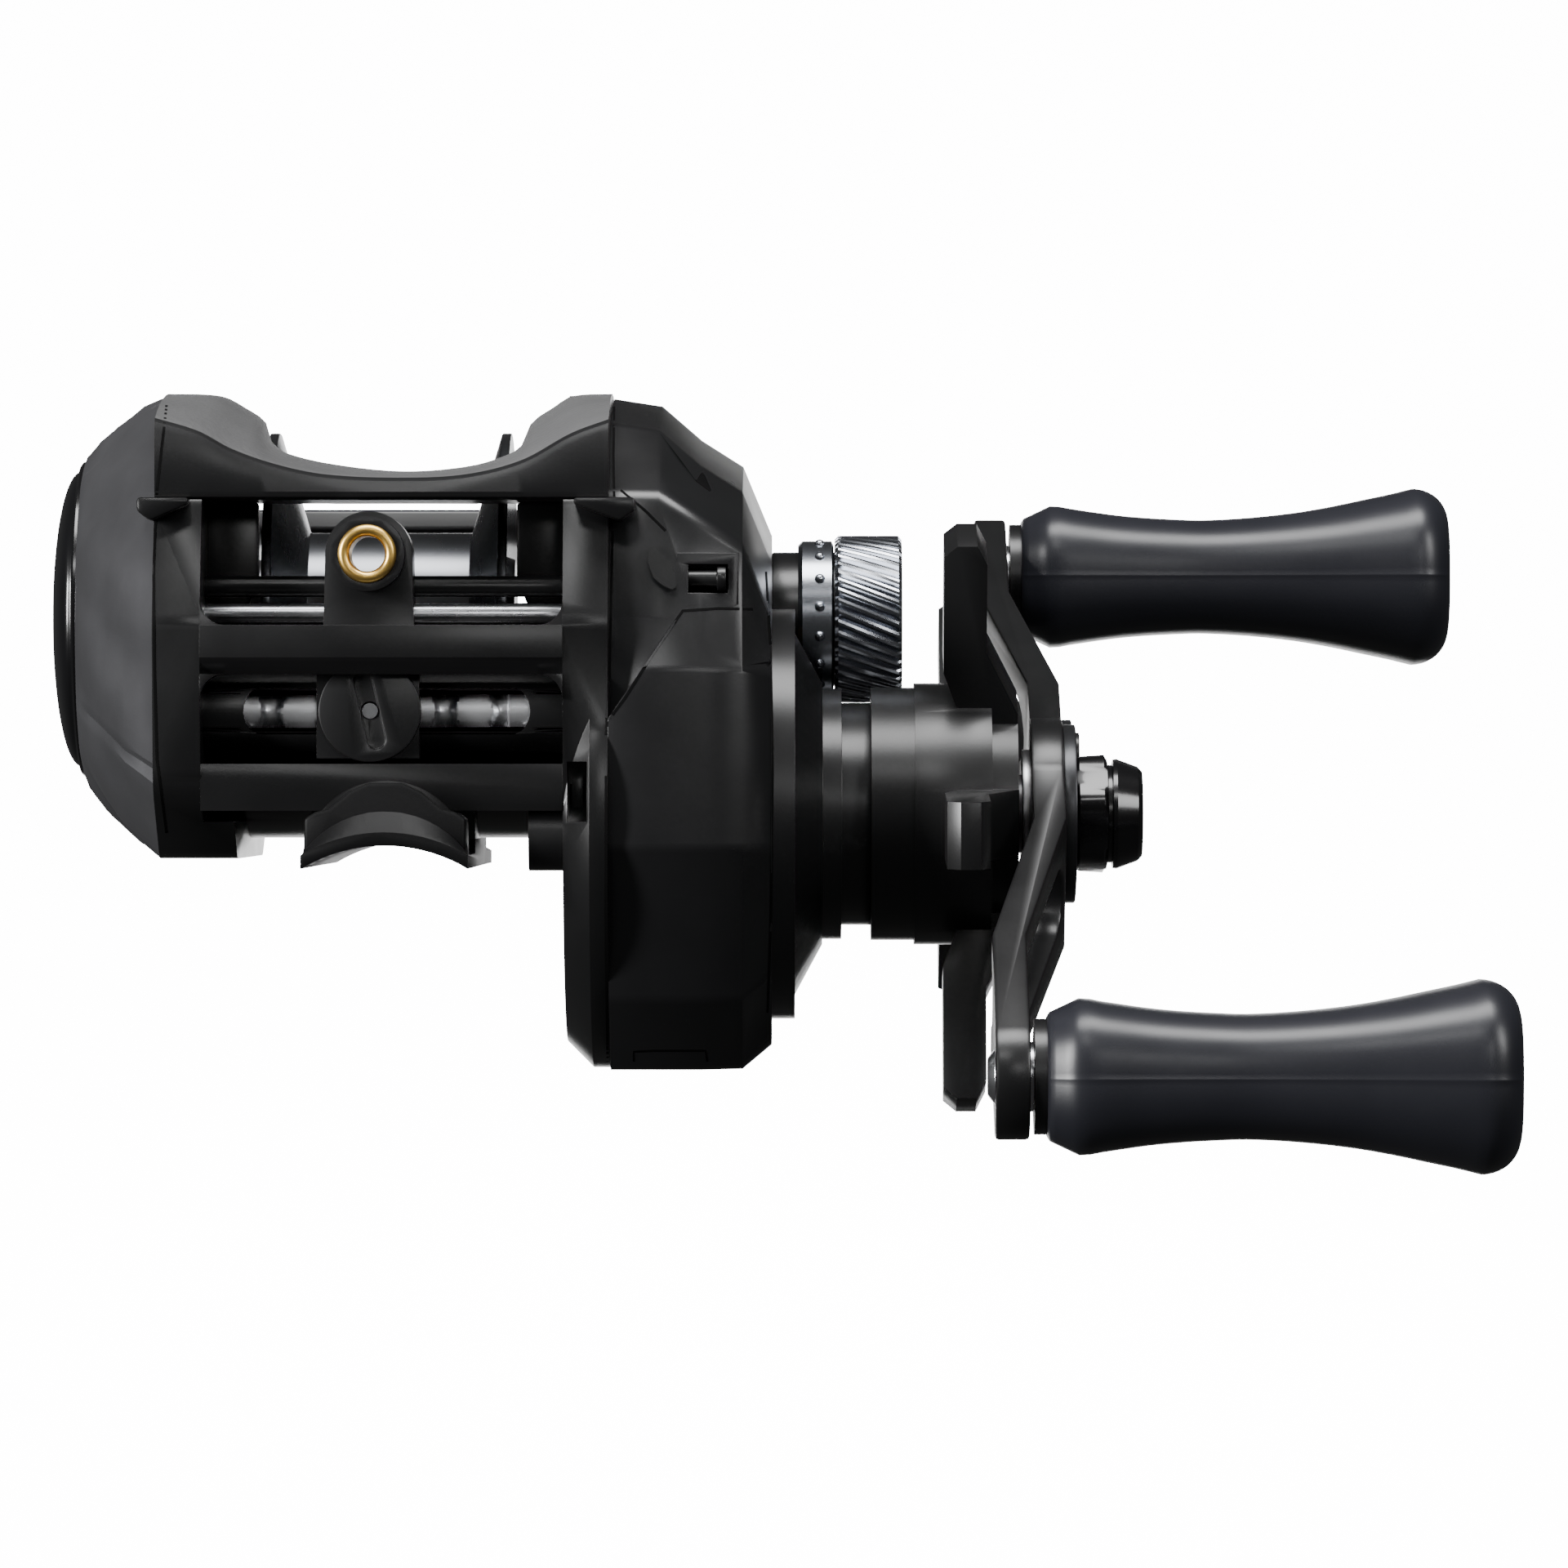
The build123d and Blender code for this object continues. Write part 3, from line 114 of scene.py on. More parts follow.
def make_grain_group():
    """Fine grain of a moulded or coated surface: tint and gloss drift together, height is finer."""
    group, start, end = node_group(
        "surface_grain",
        [
            ("Tint", "NodeSocketColor", (0.02, 0.02, 0.02, 1)),
            ("Tint Change", "NodeSocketFloat", 0.2),
            ("Roughness", "NodeSocketFloat", 0.4),
            ("Roughness Change", "NodeSocketFloat", 0.08),
            ("Grain Size", "NodeSocketFloat", 4000.0),
            ("Cloud Size", "NodeSocketFloat", 160.0),
        ],
        [("Colour", "NodeSocketColor"), ("Roughness", "NodeSocketFloat"), ("Height", "NodeSocketFloat")],
    )
    given = start.outputs
    place = add(group, "ShaderNodeTexCoord").outputs["Object"]
    grain = add(group, "ShaderNodeTexNoise", [("Vector", place), ("Scale", given["Grain Size"])])
    cloud = add(group, "ShaderNodeTexNoise", [("Vector", place), ("Scale", given["Cloud Size"])], detail=4)
    drift = add(group, "ShaderNodeMath", [(0, cloud.outputs["Fac"])], operation="SUBTRACT")
    drift.inputs[1].default_value = 0.5
    gain = add(
        group, "ShaderNodeMath", [(0, drift.outputs[0]), (1, given["Tint Change"])], operation="MULTIPLY_ADD"
    )
    gain.inputs[2].default_value = 1.0
    tint = add(
        group, "ShaderNodeVectorMath", [(0, given["Tint"]), ("Scale", gain.outputs[0])], operation="SCALE"
    )
    rough = add(
        group, "ShaderNodeMath",
        [(0, drift.outputs[0]), (1, given["Roughness Change"]), (2, given["Roughness"])],
        operation="MULTIPLY_ADD",
    )
    group.links.new(tint.outputs[0], end.inputs["Colour"])
    group.links.new(rough.outputs[0], end.inputs["Roughness"])
    group.links.new(grain.outputs["Fac"], end.inputs["Height"])
    return group


GRAIN = make_grain_group()


def finish(
    name, tint, roughness, metallic=0.0, coat=0.0, bump=0.1, grain=4000.0, change=0.25,
    depth=0.00002, specular=0.5,
):
    """A material whose colour, gloss and bump come from the surface grain."""
    material = bpy.data.materials.new(name)
    material.use_nodes = True
    tree = material.node_tree
    texture = add(
        tree, "ShaderNodeGroup", node_tree=GRAIN, tint=(*tint, 1), tint_change=change,
        roughness=roughness, roughness_change=0.1, grain_size=grain,
    )
    height = texture.outputs["Height"]
    bumps = add(tree, "ShaderNodeBump", [("Height", height)], strength=bump, distance=depth)
    shader = tree.nodes["Principled BSDF"].inputs
    tree.links.new(texture.outputs["Colour"], shader["Base Color"])
    tree.links.new(texture.outputs["Roughness"], shader["Roughness"])
    tree.links.new(bumps.outputs["Normal"], shader["Normal"])
    shader["Metallic"].default_value = metallic
    shader["Coat Weight"].default_value = coat
    shader["Coat Roughness"].default_value = 0.12
    shader["Specular IOR Level"].default_value = specular
    return material


FINISHES = {
    "frame_black": finish("satin_black_frame", (0.006, 0.006, 0.0063), 0.3, bump=0.18),
    "visor_grey": finish("satin_black_visor", (0.009, 0.009, 0.0094), 0.33, bump=0.2),
    "foot_black": finish("satin_black_foot", (0.003, 0.003, 0.0032), 0.5, bump=0.2, specular=0.15),
    "screw_steel": finish("plain_steel", (0.45, 0.45, 0.46), 0.32, metallic=1.0),
    "cover_charcoal": finish("satin_charcoal_cover", (0.008, 0.008, 0.0086), 0.3, bump=0.16),
    "gloss_black": finish("gloss_black", (0.004, 0.004, 0.0045), 0.22, coat=0.25, bump=0.03),
    "inner_plastic": finish("moulded_plastic", (0.03, 0.03, 0.032), 0.5, bump=0.3),
    "cap_chrome": finish("gunmetal_chrome", (0.42, 0.44, 0.48), 0.24, metallic=1.0, bump=0.05, change=0.15),
    "spool_gunmetal": finish("gunmetal_anodised", (0.15, 0.155, 0.165), 0.28, metallic=1.0, bump=0.08),
    "bright_steel": finish("polished_steel", (0.7, 0.71, 0.73), 0.27, metallic=1.0, bump=0.05, change=0.12),
    "rotor_aluminium": finish("turned_aluminium", (0.55, 0.55, 0.57), 0.3, metallic=1.0),
    "gear_brass": finish("machined_brass", (0.62, 0.42, 0.14), 0.25, metallic=1.0),
    "drag_carbon": finish("carbon_washer", (0.02, 0.02, 0.02), 0.6, bump=0.4, grain=2500),
    "star_black": finish("satin_black_metal", (0.007, 0.007, 0.0074), 0.33, bump=0.15),
    "keeper_gunmetal": finish("satin_gunmetal", (0.05, 0.051, 0.054), 0.35, metallic=0.8),
    "knob_rubber": finish("slate_rubber", (0.0135, 0.014, 0.0185), 0.36, bump=0.12, grain=2600, change=0.15),
    "guide_black": finish("moulded_black_guide", (0.006, 0.006, 0.0064), 0.35, bump=0.2),
    "ring_gold": finish("polished_gold_ring", (0.85, 0.55, 0.15), 0.34, metallic=1.0, bump=0.04, change=0.12),
}

for node_name, slot_name in NODES.items():
    cad_node = frame["nodes"][node_name]
    if not cad_node.data.materials:
        cad_node.data.materials.append(FINISHES[slot_name])
    for holder in cad_node.material_slots:
        holder.material = FINISHES[slot_name]

# ---- mesh helpers ----
SHARP_EDGE = math.radians(32)  # edges sharper than this are rounded
NEAR_FLAT = math.radians(1.5)  # faces that meet at less than this are one face


def piece(name, shape, body, slot, replaces=(), material=None, sharp=30):
    """Close a bmesh into a named object that rides a body and carries a finish."""
    bmesh.ops.remove_doubles(shape, verts=shape.verts, dist=1e-6)
    bmesh.ops.recalc_face_normals(shape, faces=shape.faces)
    mesh = bpy.data.meshes.new(name)
    shape.to_mesh(mesh)
    shape.free()
    for polygon in mesh.polygons:
        polygon.use_smooth = True
    mesh.set_sharp_from_angle(angle=math.radians(sharp))
    mesh.materials.append(material or FINISHES[slot])
    made = bpy.data.objects.new(name, mesh)
    bpy.context.scene.collection.objects.link(made)
    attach(made, body)
    if replaces:
        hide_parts(*replaces)
    return made


def cad_shape(node):
    """The node's mesh as a bmesh with merged corners and its flat faces joined."""
    shape = bmesh.new()
    shape.from_mesh(frame["nodes"][node].data)
    shape.transform(frame["nodes"][node].matrix_world)
    bmesh.ops.remove_doubles(shape, verts=shape.verts, dist=2e-6)
    bmesh.ops.dissolve_limit(
        shape, angle_limit=NEAR_FLAT, use_dissolve_boundaries=False, verts=shape.verts, edges=shape.edges
    )
    return shape


def soften(shape, width):
    """Round every sharp edge, as a moulding or casting has it."""
    sharp = [edge for edge in shape.edges if edge.is_manifold and edge.calc_face_angle(0) > SHARP_EDGE]
    bmesh.ops.bevel(
        shape, geom=sharp, offset=width * MM, offset_type="OFFSET", segments=2, profile=0.5,
        affect="EDGES", clamp_overlap=True, material=-1,
    )


def dressed(node, width):
    """A softened stand-in for one CAD node."""
    shape = cad_shape(node)
    soften(shape, width)
    piece(node + "_surface", shape, BODY_OF[node], NODES[node], [node])


def skin(shape, rings):
    """Join neighbouring rings of points into one surface and close both ends."""
    loops = []
    for ring in rings:
        verts = [shape.verts.new(Vector(point) * MM) for point in ring]
        loops.append([shape.edges.new((verts[i - 1], verts[i])) for i in range(len(verts))])
    for first, second in zip(loops, loops[1:]):
        bmesh.ops.bridge_loops(shape, edges=first + second)
    for loop in (loops[0], loops[-1]):
        bmesh.ops.contextual_create(shape, geom=loop)


def turned(shape, profile, at, steps=96):
    """Spin (x, radius) points about the line along X through at = (y, z)."""
    verts = [shape.verts.new((x * MM, at[0] * MM, (at[1] + radius) * MM)) for x, radius in profile]
    edges = [shape.edges.new(pair) for pair in zip(verts, verts[1:])]
    bmesh.ops.spin(
        shape, geom=verts + edges, cent=(0, at[0] * MM, at[1] * MM), axis=(1, 0, 0), angle=math.tau,
        steps=steps, use_merge=True,
    )


def slab(name, corners, depth, direction, body, slot, width):
    """A flat outline given in space, pushed along a direction and softened."""
    shape = bmesh.new()
    face = shape.faces.new([shape.verts.new(Vector(corner) * MM) for corner in corners])
    made = bmesh.ops.extrude_face_region(shape, geom=[face])
    moved = [part for part in made["geom"] if isinstance(part, bmesh.types.BMVert)]
    bmesh.ops.translate(shape, vec=Vector(direction) * depth * MM, verts=moved)
    soften(shape, width)
    piece(name, shape, body, slot)


def round_point(x, centre, radius, turn):
    """A point on a circle about X; centre is (y, z)."""
    return x, centre[0] + radius * math.cos(turn), centre[1] + radius * math.sin(turn)


def along(table, place):
    """Straight-line reading of a table of (place, value) rows."""
    if place <= table[0][0]:
        return table[0][1]
    for (x0, v0), (x1, v1) in zip(table, table[1:]):
        if place <= x1:
            return v0 + (v1 - v0) * (place - x0) / (x1 - x0)
    return table[-1][1]


def eased(table, place):
    """Smooth reading of a table of (place, value) rows."""
    k = max(0, min(len(table) - 2, sum(place >= row[0] for row in table) - 1))
    before, after = max(k - 1, 0), min(k + 2, len(table) - 1)
    (x0, v0), (x1, v1) = table[k], table[k + 1]
    t = (place - x0) / (x1 - x0)
    slope0 = (v1 - table[before][1]) / (x1 - table[before][0]) * (x1 - x0)
    slope1 = (table[after][1] - v0) / (table[after][0] - x0) * (x1 - x0)
    return (
        v0 * (2 * t**3 - 3 * t**2 + 1) + slope0 * (t**3 - 2 * t**2 + t)
        + v1 * (3 * t**2 - 2 * t**3) + slope1 * (t**3 - t**2)
    )


# ---- knobs: half height and half width along the grip, from the shoulder to the flare ----
KNOB_HEIGHT = [
    (0, 5.5), (2.8, 6.83), (4.5, 6.62), (8.8, 6.0), (12, 5.7), (15.2, 5.53), (17.3, 5.47), (20.5, 5.6),
    (23.7, 5.87), (26.9, 6.26), (30, 6.8), (33.3, 7.5), (35.5, 7.96), (37.7, 8.5),
]
KNOB_WIDTH = [(0, 5.9), (2.8, 7.7), (8.8, 7.4), (17.3, 7.2), (26.9, 8.0), (33.3, 9.2), (37.7, 9.9)]
KNOB_SHOULDER = 2.8  # from the base to the widest point of the shoulder
KNOB_END_ROUND = 2.9
KNOB_SQUARENESS = 2.7  # 2 would make the section an ellipse
KNOB_ROUND = 72  # even steps about the grip
PARTING = 0.12  # half width of the moulded parting line, in those steps
PARTING_SIDES = (0, KNOB_ROUND // 2)
KNOB_STEPS = sorted(
    list(range(KNOB_ROUND)) + [side + PARTING for side in PARTING_SIDES]
    + [KNOB_ROUND / 2 - PARTING, KNOB_ROUND - PARTING]
)


def knob_rows(length):
    """Rows of (distance from the base, half height, half width) along a grip."""
    stations = [0, 0.25] + [KNOB_SHOULDER * k / 4 for k in range(1, 5)]
    stations += [KNOB_SHOULDER + 0.97 * k for k in range(1, 37)]
    rows = []
    for d in stations:
        read = along if d < KNOB_SHOULDER + 0.1 else eased
        rows.append((d, read(KNOB_HEIGHT, d), eased(KNOB_WIDTH, d)))
    rows[0] = (0, rows[0][1] - 0.3, rows[0][2] - 0.3)
    end, height, width = rows[-1]
    for k in range(1, 11):
        turn = math.pi / 2 * k / 10
        inset = KNOB_END_ROUND * (1 - math.cos(turn))
        rows.append((end + (length - end) * math.sin(turn), height - inset, width - inset))
    return rows


def knob(node):
    """Oval grip: a sharp shoulder, a long waist and a flared, rounded end."""
    low, high = box_mm(node)
    centre = axis_of(low, high)
    spread = (high.y - low.y) / 2 / KNOB_WIDTH[-1][1]
    rings = []
    for d, height, width in knob_rows(high.x - low.x):
        ring = []
        for step in KNOB_STEPS:
            turn = math.tau * step / KNOB_ROUND
            across, up = math.cos(turn), math.sin(turn)
            blunt = (abs(across) ** KNOB_SQUARENESS + abs(up) ** KNOB_SQUARENESS) ** (-1 / KNOB_SQUARENESS)
            blunt *= 1.0025 if step in PARTING_SIDES else 1
            y = centre[0] + spread * width * across * blunt
            ring.append((low.x + d, y, centre[1] + height * up * blunt))
        rings.append(ring)
    shape = bmesh.new()
    skin(shape, rings)
    piece(node + "_grip", shape, BODY_OF[node], "knob_rubber", [node], sharp=40)


knob("knob_near")
knob("knob_far")

# ---- cast-control cap ----
CAP_BORE = 3.6
CAP_RING_END = 40.2
CAP_GRIP_START = 40.3
DETENTS, DETENT_PITCH, FIRST_DETENT = 16, math.radians(21.8), math.radians(73.6)
KNURL_TEETH, KNURL_STATIONS, KNURL_DEPTH = 48, 20, 0.55
KNURL_TWIST = math.radians(18.8)
KNURL_TOOTH = (0.12, 0.0, 0.12, 1.0)  # share of the depth at the four points of one tooth


def cap_ring(low, outer, centre):
    """Ring at the cap's foot, with a small dome for each detent."""
    shape = bmesh.new()
    profile = [
        (low.x, CAP_BORE), (low.x, outer - 0.9), (low.x + 0.4, outer - 0.5),
        (CAP_RING_END - 0.2, outer - 0.5), (CAP_RING_END, outer - 0.9), (CAP_RING_END, CAP_BORE),
    ]
    turned(shape, profile, centre)
    for k in range(DETENTS):
        spot = Vector(round_point(38.9, centre, outer - 0.6, math.pi - FIRST_DETENT + DETENT_PITCH * k))
        bmesh.ops.create_uvsphere(
            shape, u_segments=20, v_segments=12, radius=0.5 * MM, matrix=Matrix.Translation(spot * MM)
        )
    piece("cast_cap_ring", shape, "cast_cap", "cap_chrome")


def cap_knurl(high, outer, centre):
    """Grip with a slanted knurl that runs out at both ends."""
    rings = []
    for k in range(KNURL_STATIONS + 1):
        x = CAP_GRIP_START + (high.x - CAP_GRIP_START) * k / KNURL_STATIONS
        depth = KNURL_DEPTH * min(1, k / 1.5, (KNURL_STATIONS - k) / 1.5 + 0.15)
        chamfer = 0.35 if k in (0, KNURL_STATIONS) else 0
        twist = KNURL_TWIST * k / KNURL_STATIONS
        ring = []
        for step in range(KNURL_TEETH * len(KNURL_TOOTH)):
            turn = math.tau * step / (KNURL_TEETH * len(KNURL_TOOTH)) + twist
            radius = outer - KNURL_TOOTH[step % len(KNURL_TOOTH)] * depth - chamfer
            ring.append(round_point(x, centre, radius, turn))
        rings.append(ring)
    shape = bmesh.new()
    skin(shape, rings)
    piece("cast_cap_knurl", shape, "cast_cap", "cap_chrome", sharp=28)


def cap_end(high, centre):
    """Dished end face inside a raised rim."""
    shape = bmesh.new()
    profile = [
        (high.x - 0.4, 0.001), (high.x - 0.4, 6.4), (high.x - 0.1, 6.4), (high.x, 6.0),
        (high.x - 0.25, 5.2), (high.x - 0.25, 0.001),
    ]
    turned(shape, profile, centre)
    piece("cast_cap_end", shape, "cast_cap", "cap_chrome", ["cast_control_cap"])


def cast_cap():
    """Chromed cast-control cap: detent ring, knurled grip and end face."""
    low, high = box_mm("cast_control_cap")
    centre, outer = axis_of(low, high), (high.z - low.z) / 2
    cap_ring(low, outer, centre)
    cap_knurl(high, outer, centre)
    cap_end(high, centre)


cast_cap()

# ---- palm-side plate: (x, share of the outline's reach) from the frame to the disc ----
PALM_RINGS = [
    (-20.85, 1.0), (-22.0, 0.985), (-23.6, 0.957), (-25.05, 0.905), (-26.2, 0.868), (-27.3, 0.82),
    (-28.2, 0.765), (-28.7, 0.735), (-28.9, 0.71),
]
PALM_ROUND = 21.2  # the circle that the plate's outline turns into towards the disc
PALM_ROUNDING = 0.75  # how far it gets there
PALM_POINTS = 240
PETALS, PETAL_SLANT, PETAL_DEPTH = 14, 0.9, 1.35


def seam_outline(node, x):
    """Outermost corners of a node's outline at a seam, sorted by angle about the spool axis."""
    polar = {}
    for vert in frame["nodes"][node].data.vertices:
        point = vert.co / MM
        if abs(point.x - x) < 0.02:
            turn = math.atan2(point.z - SPOOL_Z, point.y)
            reach = math.hypot(point.z - SPOOL_Z, point.y)
            key = round(turn, 2)
            if reach > 15 and reach > polar.get(key, (0, 0))[1]:
                polar[key] = (turn, reach)
    corners = sorted(polar.values())
    (first_turn, first_reach), (last_turn, last_reach) = corners[0], corners[-1]
    corners = [(last_turn - math.tau, last_reach), *corners, (first_turn + math.tau, first_reach)]
    return [(turn, reach * math.cos(turn), reach * math.sin(turn)) for turn, reach in corners]


def edge_reach(outline, turn):
    """Distance from the spool axis to the outline's straight edge in a direction."""
    for (a0, y0, z0), (a1, y1, z1) in zip(outline, outline[1:]):
        if a0 <= turn <= a1:
            break
    cross = (y1 - y0) * math.sin(turn) - (z1 - z0) * math.cos(turn)
    if abs(cross) > 1e-9:
        return abs(((y1 - y0) * z0 - (z1 - z0) * y0) / cross)
    return math.hypot(y0, z0)


def palm_plate():
    """Cast side plate: scalloped petals run back from a domed gloss disc."""
    outline = seam_outline("palm_side_plate", PALM_RINGS[0][0])
    rings = []
    for step, (x, scale) in enumerate(PALM_RINGS):
        blend = step / (len(PALM_RINGS) - 1)
        fade = math.sin(math.pi * min(1, max(0, blend * 1.06)))
        rounding = blend * PALM_ROUNDING
        ring = []
        for k in range(PALM_POINTS):
            turn = -math.pi + math.tau * k / PALM_POINTS
            reach = edge_reach(outline, turn) * scale * (1 - rounding) + PALM_ROUND * scale * rounding
            crease = abs((turn / math.tau * PETALS + PETAL_SLANT * blend) % 1 - 0.5) * 2
            reach -= PETAL_DEPTH * fade * (1 - crease) ** 1.2
            ring.append(round_point(x, (0, SPOOL_Z), reach, turn))
        rings.append(ring)
    shape = bmesh.new()
    skin(shape, rings)
    graphite = finish("satin_graphite_plate", (0.1, 0.1, 0.106), 0.38, metallic=0.7, bump=0.2)
    piece("palm_plate_petals", shape, "frame", "cover_charcoal", ["palm_side_plate"], graphite, sharp=26)


palm_plate()

# ---- visor: (x, height) of its back and front edge ----
VISOR_BACK = [
    (-21, 41.4), (-16.1, 41.2), (-13.9, 40.1), (-12.0, 38.7), (-11.6, 37.4), (-11.2, 36.7), (-10, 35.8),
    (-5.6, 34.7), (1, 34.0), (7, 34.5), (10.5, 35.6), (11.7, 36.5), (12.1, 37.6), (12.5, 38.8), (14.3, 40.1),
    (16.1, 41.2), (20, 41.4),
]
VISOR_FRONT = [
    (-21, 38.4), (-17, 37.2), (-14, 35.6), (-10, 34.2), (-5.6, 33.3), (1, 33.0), (7, 33.3), (12.1, 34.6),
    (16.5, 37.0), (20, 38.3),
]
VISOR_HORN = 40  # where the back edge is higher than this, the hood runs to its full depth
VISOR_BRIM = 0.9  # from the front of the nose to where the top begins
SPOOL_TUNNEL = 18.4
VISOR_STATIONS, VISOR_POINTS = 60, 15


def visor():
    """Hood over the line window: low in the middle, rising to a horn at each side plate."""
    low, high = box_mm("front_visor")
    rings = []
    for k in range(VISOR_STATIONS + 1):
        x = low.x + (high.x - low.x) * k / VISOR_STATIONS
        back, front = eased(VISOR_BACK, x), eased(VISOR_FRONT, x)
        rear = high.y
        if back < VISOR_HORN:
            rear = -math.sqrt(max(36.0, SPOOL_TUNNEL**2 - (back - 1.2 - SPOOL_Z) ** 2))
        rear = max(min(rear, high.y), low.y + 8)
        top, under = [], []
        for j in range(VISOR_POINTS):
            t = j / (VISOR_POINTS - 1)
            y = low.y + VISOR_BRIM + (rear - low.y - VISOR_BRIM) * t
            z = front + (back - front) * math.sin(math.pi / 2 * t) ** 0.85
            arch = SPOOL_Z + math.sqrt(max(0, SPOOL_TUNNEL**2 - y * y)) if abs(y) < SPOOL_TUNNEL else 0
            top.append((x, y, z))
            under.append((x, y, min(z - 0.5, max(low.z, arch))))
        nose = [
            (x, low.y + 0.25, low.z + 0.25), (x, low.y, low.z + 0.7), (x, low.y + 0.1, front - 1.0),
            (x, low.y + 0.35, front - 0.35),
        ]
        rings.append(under[::-1] + nose + top)
    shape = bmesh.new()
    skin(shape, rings)
    hood = piece("visor_hood", shape, "frame", "visor_grey", ["front_visor"], sharp=32)
    # upward faces behind the brim: a real pebbled texture, with a lighter tint that is painted light,
    # standing in for the top light falling on them
    pebbled_and_painted_light_top = finish("pebbled_visor_top_painted_light", (0.075, 0.075, 0.076), 0.55, bump=0.8, grain=1500, depth=0.0001)
    hood.data.materials.append(pebbled_and_painted_light_top)
    for polygon in hood.data.polygons:
        if polygon.normal.z > 0.01 and polygon.center.y > (low.y + VISOR_BRIM + 0.02) * MM:
            polygon.material_index = 1


visor()

# ---- level-wind worm ----
WORM_PITCH = 5.2
GROOVE_HALF, GROOVE_DEPTH = 0.8, 0.7
GROOVED_MIDDLE, GROOVED_HALF = -1.7, 12.5  # the stretch of the shaft that carries the grooves
WORM_STEPS, WORM_POINTS = 200, 64


def worm_screw():
    """Reversing worm: two crossing grooves cut round a bright shaft."""
    low, high = box_mm("worm_shaft")
    centre, outer = axis_of(low, high), (high.z - low.z) / 2
    rings = []
    for k in range(WORM_STEPS + 1):
        x = low.x + (high.x - low.x) * k / WORM_STEPS
        grooved = abs(x - GROOVED_MIDDLE) < GROOVED_HALF
        ring = []
        for j in range(WORM_POINTS):
            share = j / WORM_POINTS
            thread, counter_thread = (abs((x / WORM_PITCH + way) % 1 - 0.5) for way in (share, -share))
            gap = min(thread, counter_thread) * WORM_PITCH
            depth = GROOVE_DEPTH * max(0, 1 - (gap / GROOVE_HALF) ** 4) if grooved else 0
            ring.append(round_point(x, centre, outer - depth, math.tau * share))
        rings.append(ring)
    shape = bmesh.new()
    skin(shape, rings)
    bright = finish("worm_steel", (0.9, 0.91, 0.93), 0.38, metallic=1.0, bump=0.05, change=0.1)
    piece("worm_grooves", shape, "worm", "bright_steel", ["worm_shaft"], bright, sharp=35)


worm_screw()

# ---- line ring ----


def line_ring():
    """Polished eyelet: a rolled front lip and a smooth throat for the line."""
    low, high = box_mm("guide_ring")
    centre_x, centre_z = (low.x + high.x) / 2, (low.z + high.z) / 2
    outer, inner, roll = (high.z - low.z) / 2, 1.6, 0.55
    middle_r, lip_r = (outer + inner) / 2, (outer - inner) / 2
    lip = [(outer, high.y), (outer, low.y + 0.7)]
    for k in range(13):
        turn = math.pi * k / 12
        lip.append((middle_r + lip_r * math.cos(turn), low.y + roll - roll * math.sin(turn)))
    lip += [(inner, low.y + 0.9), (inner, high.y)]
    shape = bmesh.new()
    verts = [shape.verts.new(((centre_x + radius) * MM, y * MM, centre_z * MM)) for radius, y in lip]
    edges = [shape.edges.new((verts[k - 1], verts[k])) for k in range(len(verts))]
    bmesh.ops.spin(
        shape, geom=verts + edges, cent=(centre_x * MM, 0, centre_z * MM), axis=(0, 1, 0), angle=math.tau,
        steps=72, use_merge=True,
    )
    piece("line_eyelet", shape, "line_guide", "ring_gold", ["guide_ring"], sharp=50)


line_ring()

# ---- handle nut ----
NUT_HALF_FLATS = 5.0
NUT_HEX_ROWS = 4  # how many of the rows below belong to the hexagon


def handle_nut():
    """Hexagon nut with chamfered corners, a round groove and a tapered nose."""
    low, high = box_mm("handle_nut")
    centre, length = axis_of(low, high), high.x - low.x
    rows = [
        (0, 4.9), (0.35, 5.35), (0.42 * length, 5.6), (0.47 * length, 5.05), (0.49 * length, 4.5),
        (0.54 * length, 4.5), (0.56 * length, 5.0), (0.62 * length, 5.05), (0.93 * length, 4.35),
        (length, 3.9), (length, 1.9), (length - 0.8, 1.7),
    ]
    rings = []
    for row, (x, radius) in enumerate(rows):
        ring = []
        for k in range(72):
            turn = math.tau * k / 72
            off = (turn + math.radians(12)) % (math.pi / 3) - math.pi / 6
            reach = min(radius, NUT_HALF_FLATS / math.cos(off)) if row < NUT_HEX_ROWS else radius
            ring.append(round_point(low.x + x, centre, reach, turn))
        rings.append(ring)
    shape = bmesh.new()
    skin(shape, rings)
    piece("handle_nut_hex", shape, "handle", "gloss_black", ["handle_nut"], sharp=24)


handle_nut()

# ---- palm disc and brake dial ----
DISC_RIM, DIAL_RADIUS = 14.6, 7.0


def dome_x(radius):
    """Crown of the palm disc at a radius from the spool axis."""
    return -29.5 - 2.55 * math.sqrt(max(0, 1 - (radius / 13.7) ** 2)) ** 0.9


def palm_disc():
    """Gloss disc with a ring groove round its crown and a hole for the dial."""
    rows = [
        (-28.6, DISC_RIM), (-29.3, DISC_RIM), (-29.5, DISC_RIM - 0.25), (-29.5, DISC_RIM - 0.5),
        (-29.25, DISC_RIM - 0.7),
    ]
    rows += [(dome_x(radius), radius) for radius in [13.7 - 0.05 * k * k for k in range(12)] + [7.4]]
    rows += [(dome_x(7.15) + 0.15, 7.15), (-29.6, 7.15), (-28.95, 6.9)]
    shape = bmesh.new()
    turned(shape, rows, (0, SPOOL_Z), 128)
    piece("palm_disc_crown", shape, "frame", "gloss_black", ["palm_disc"])


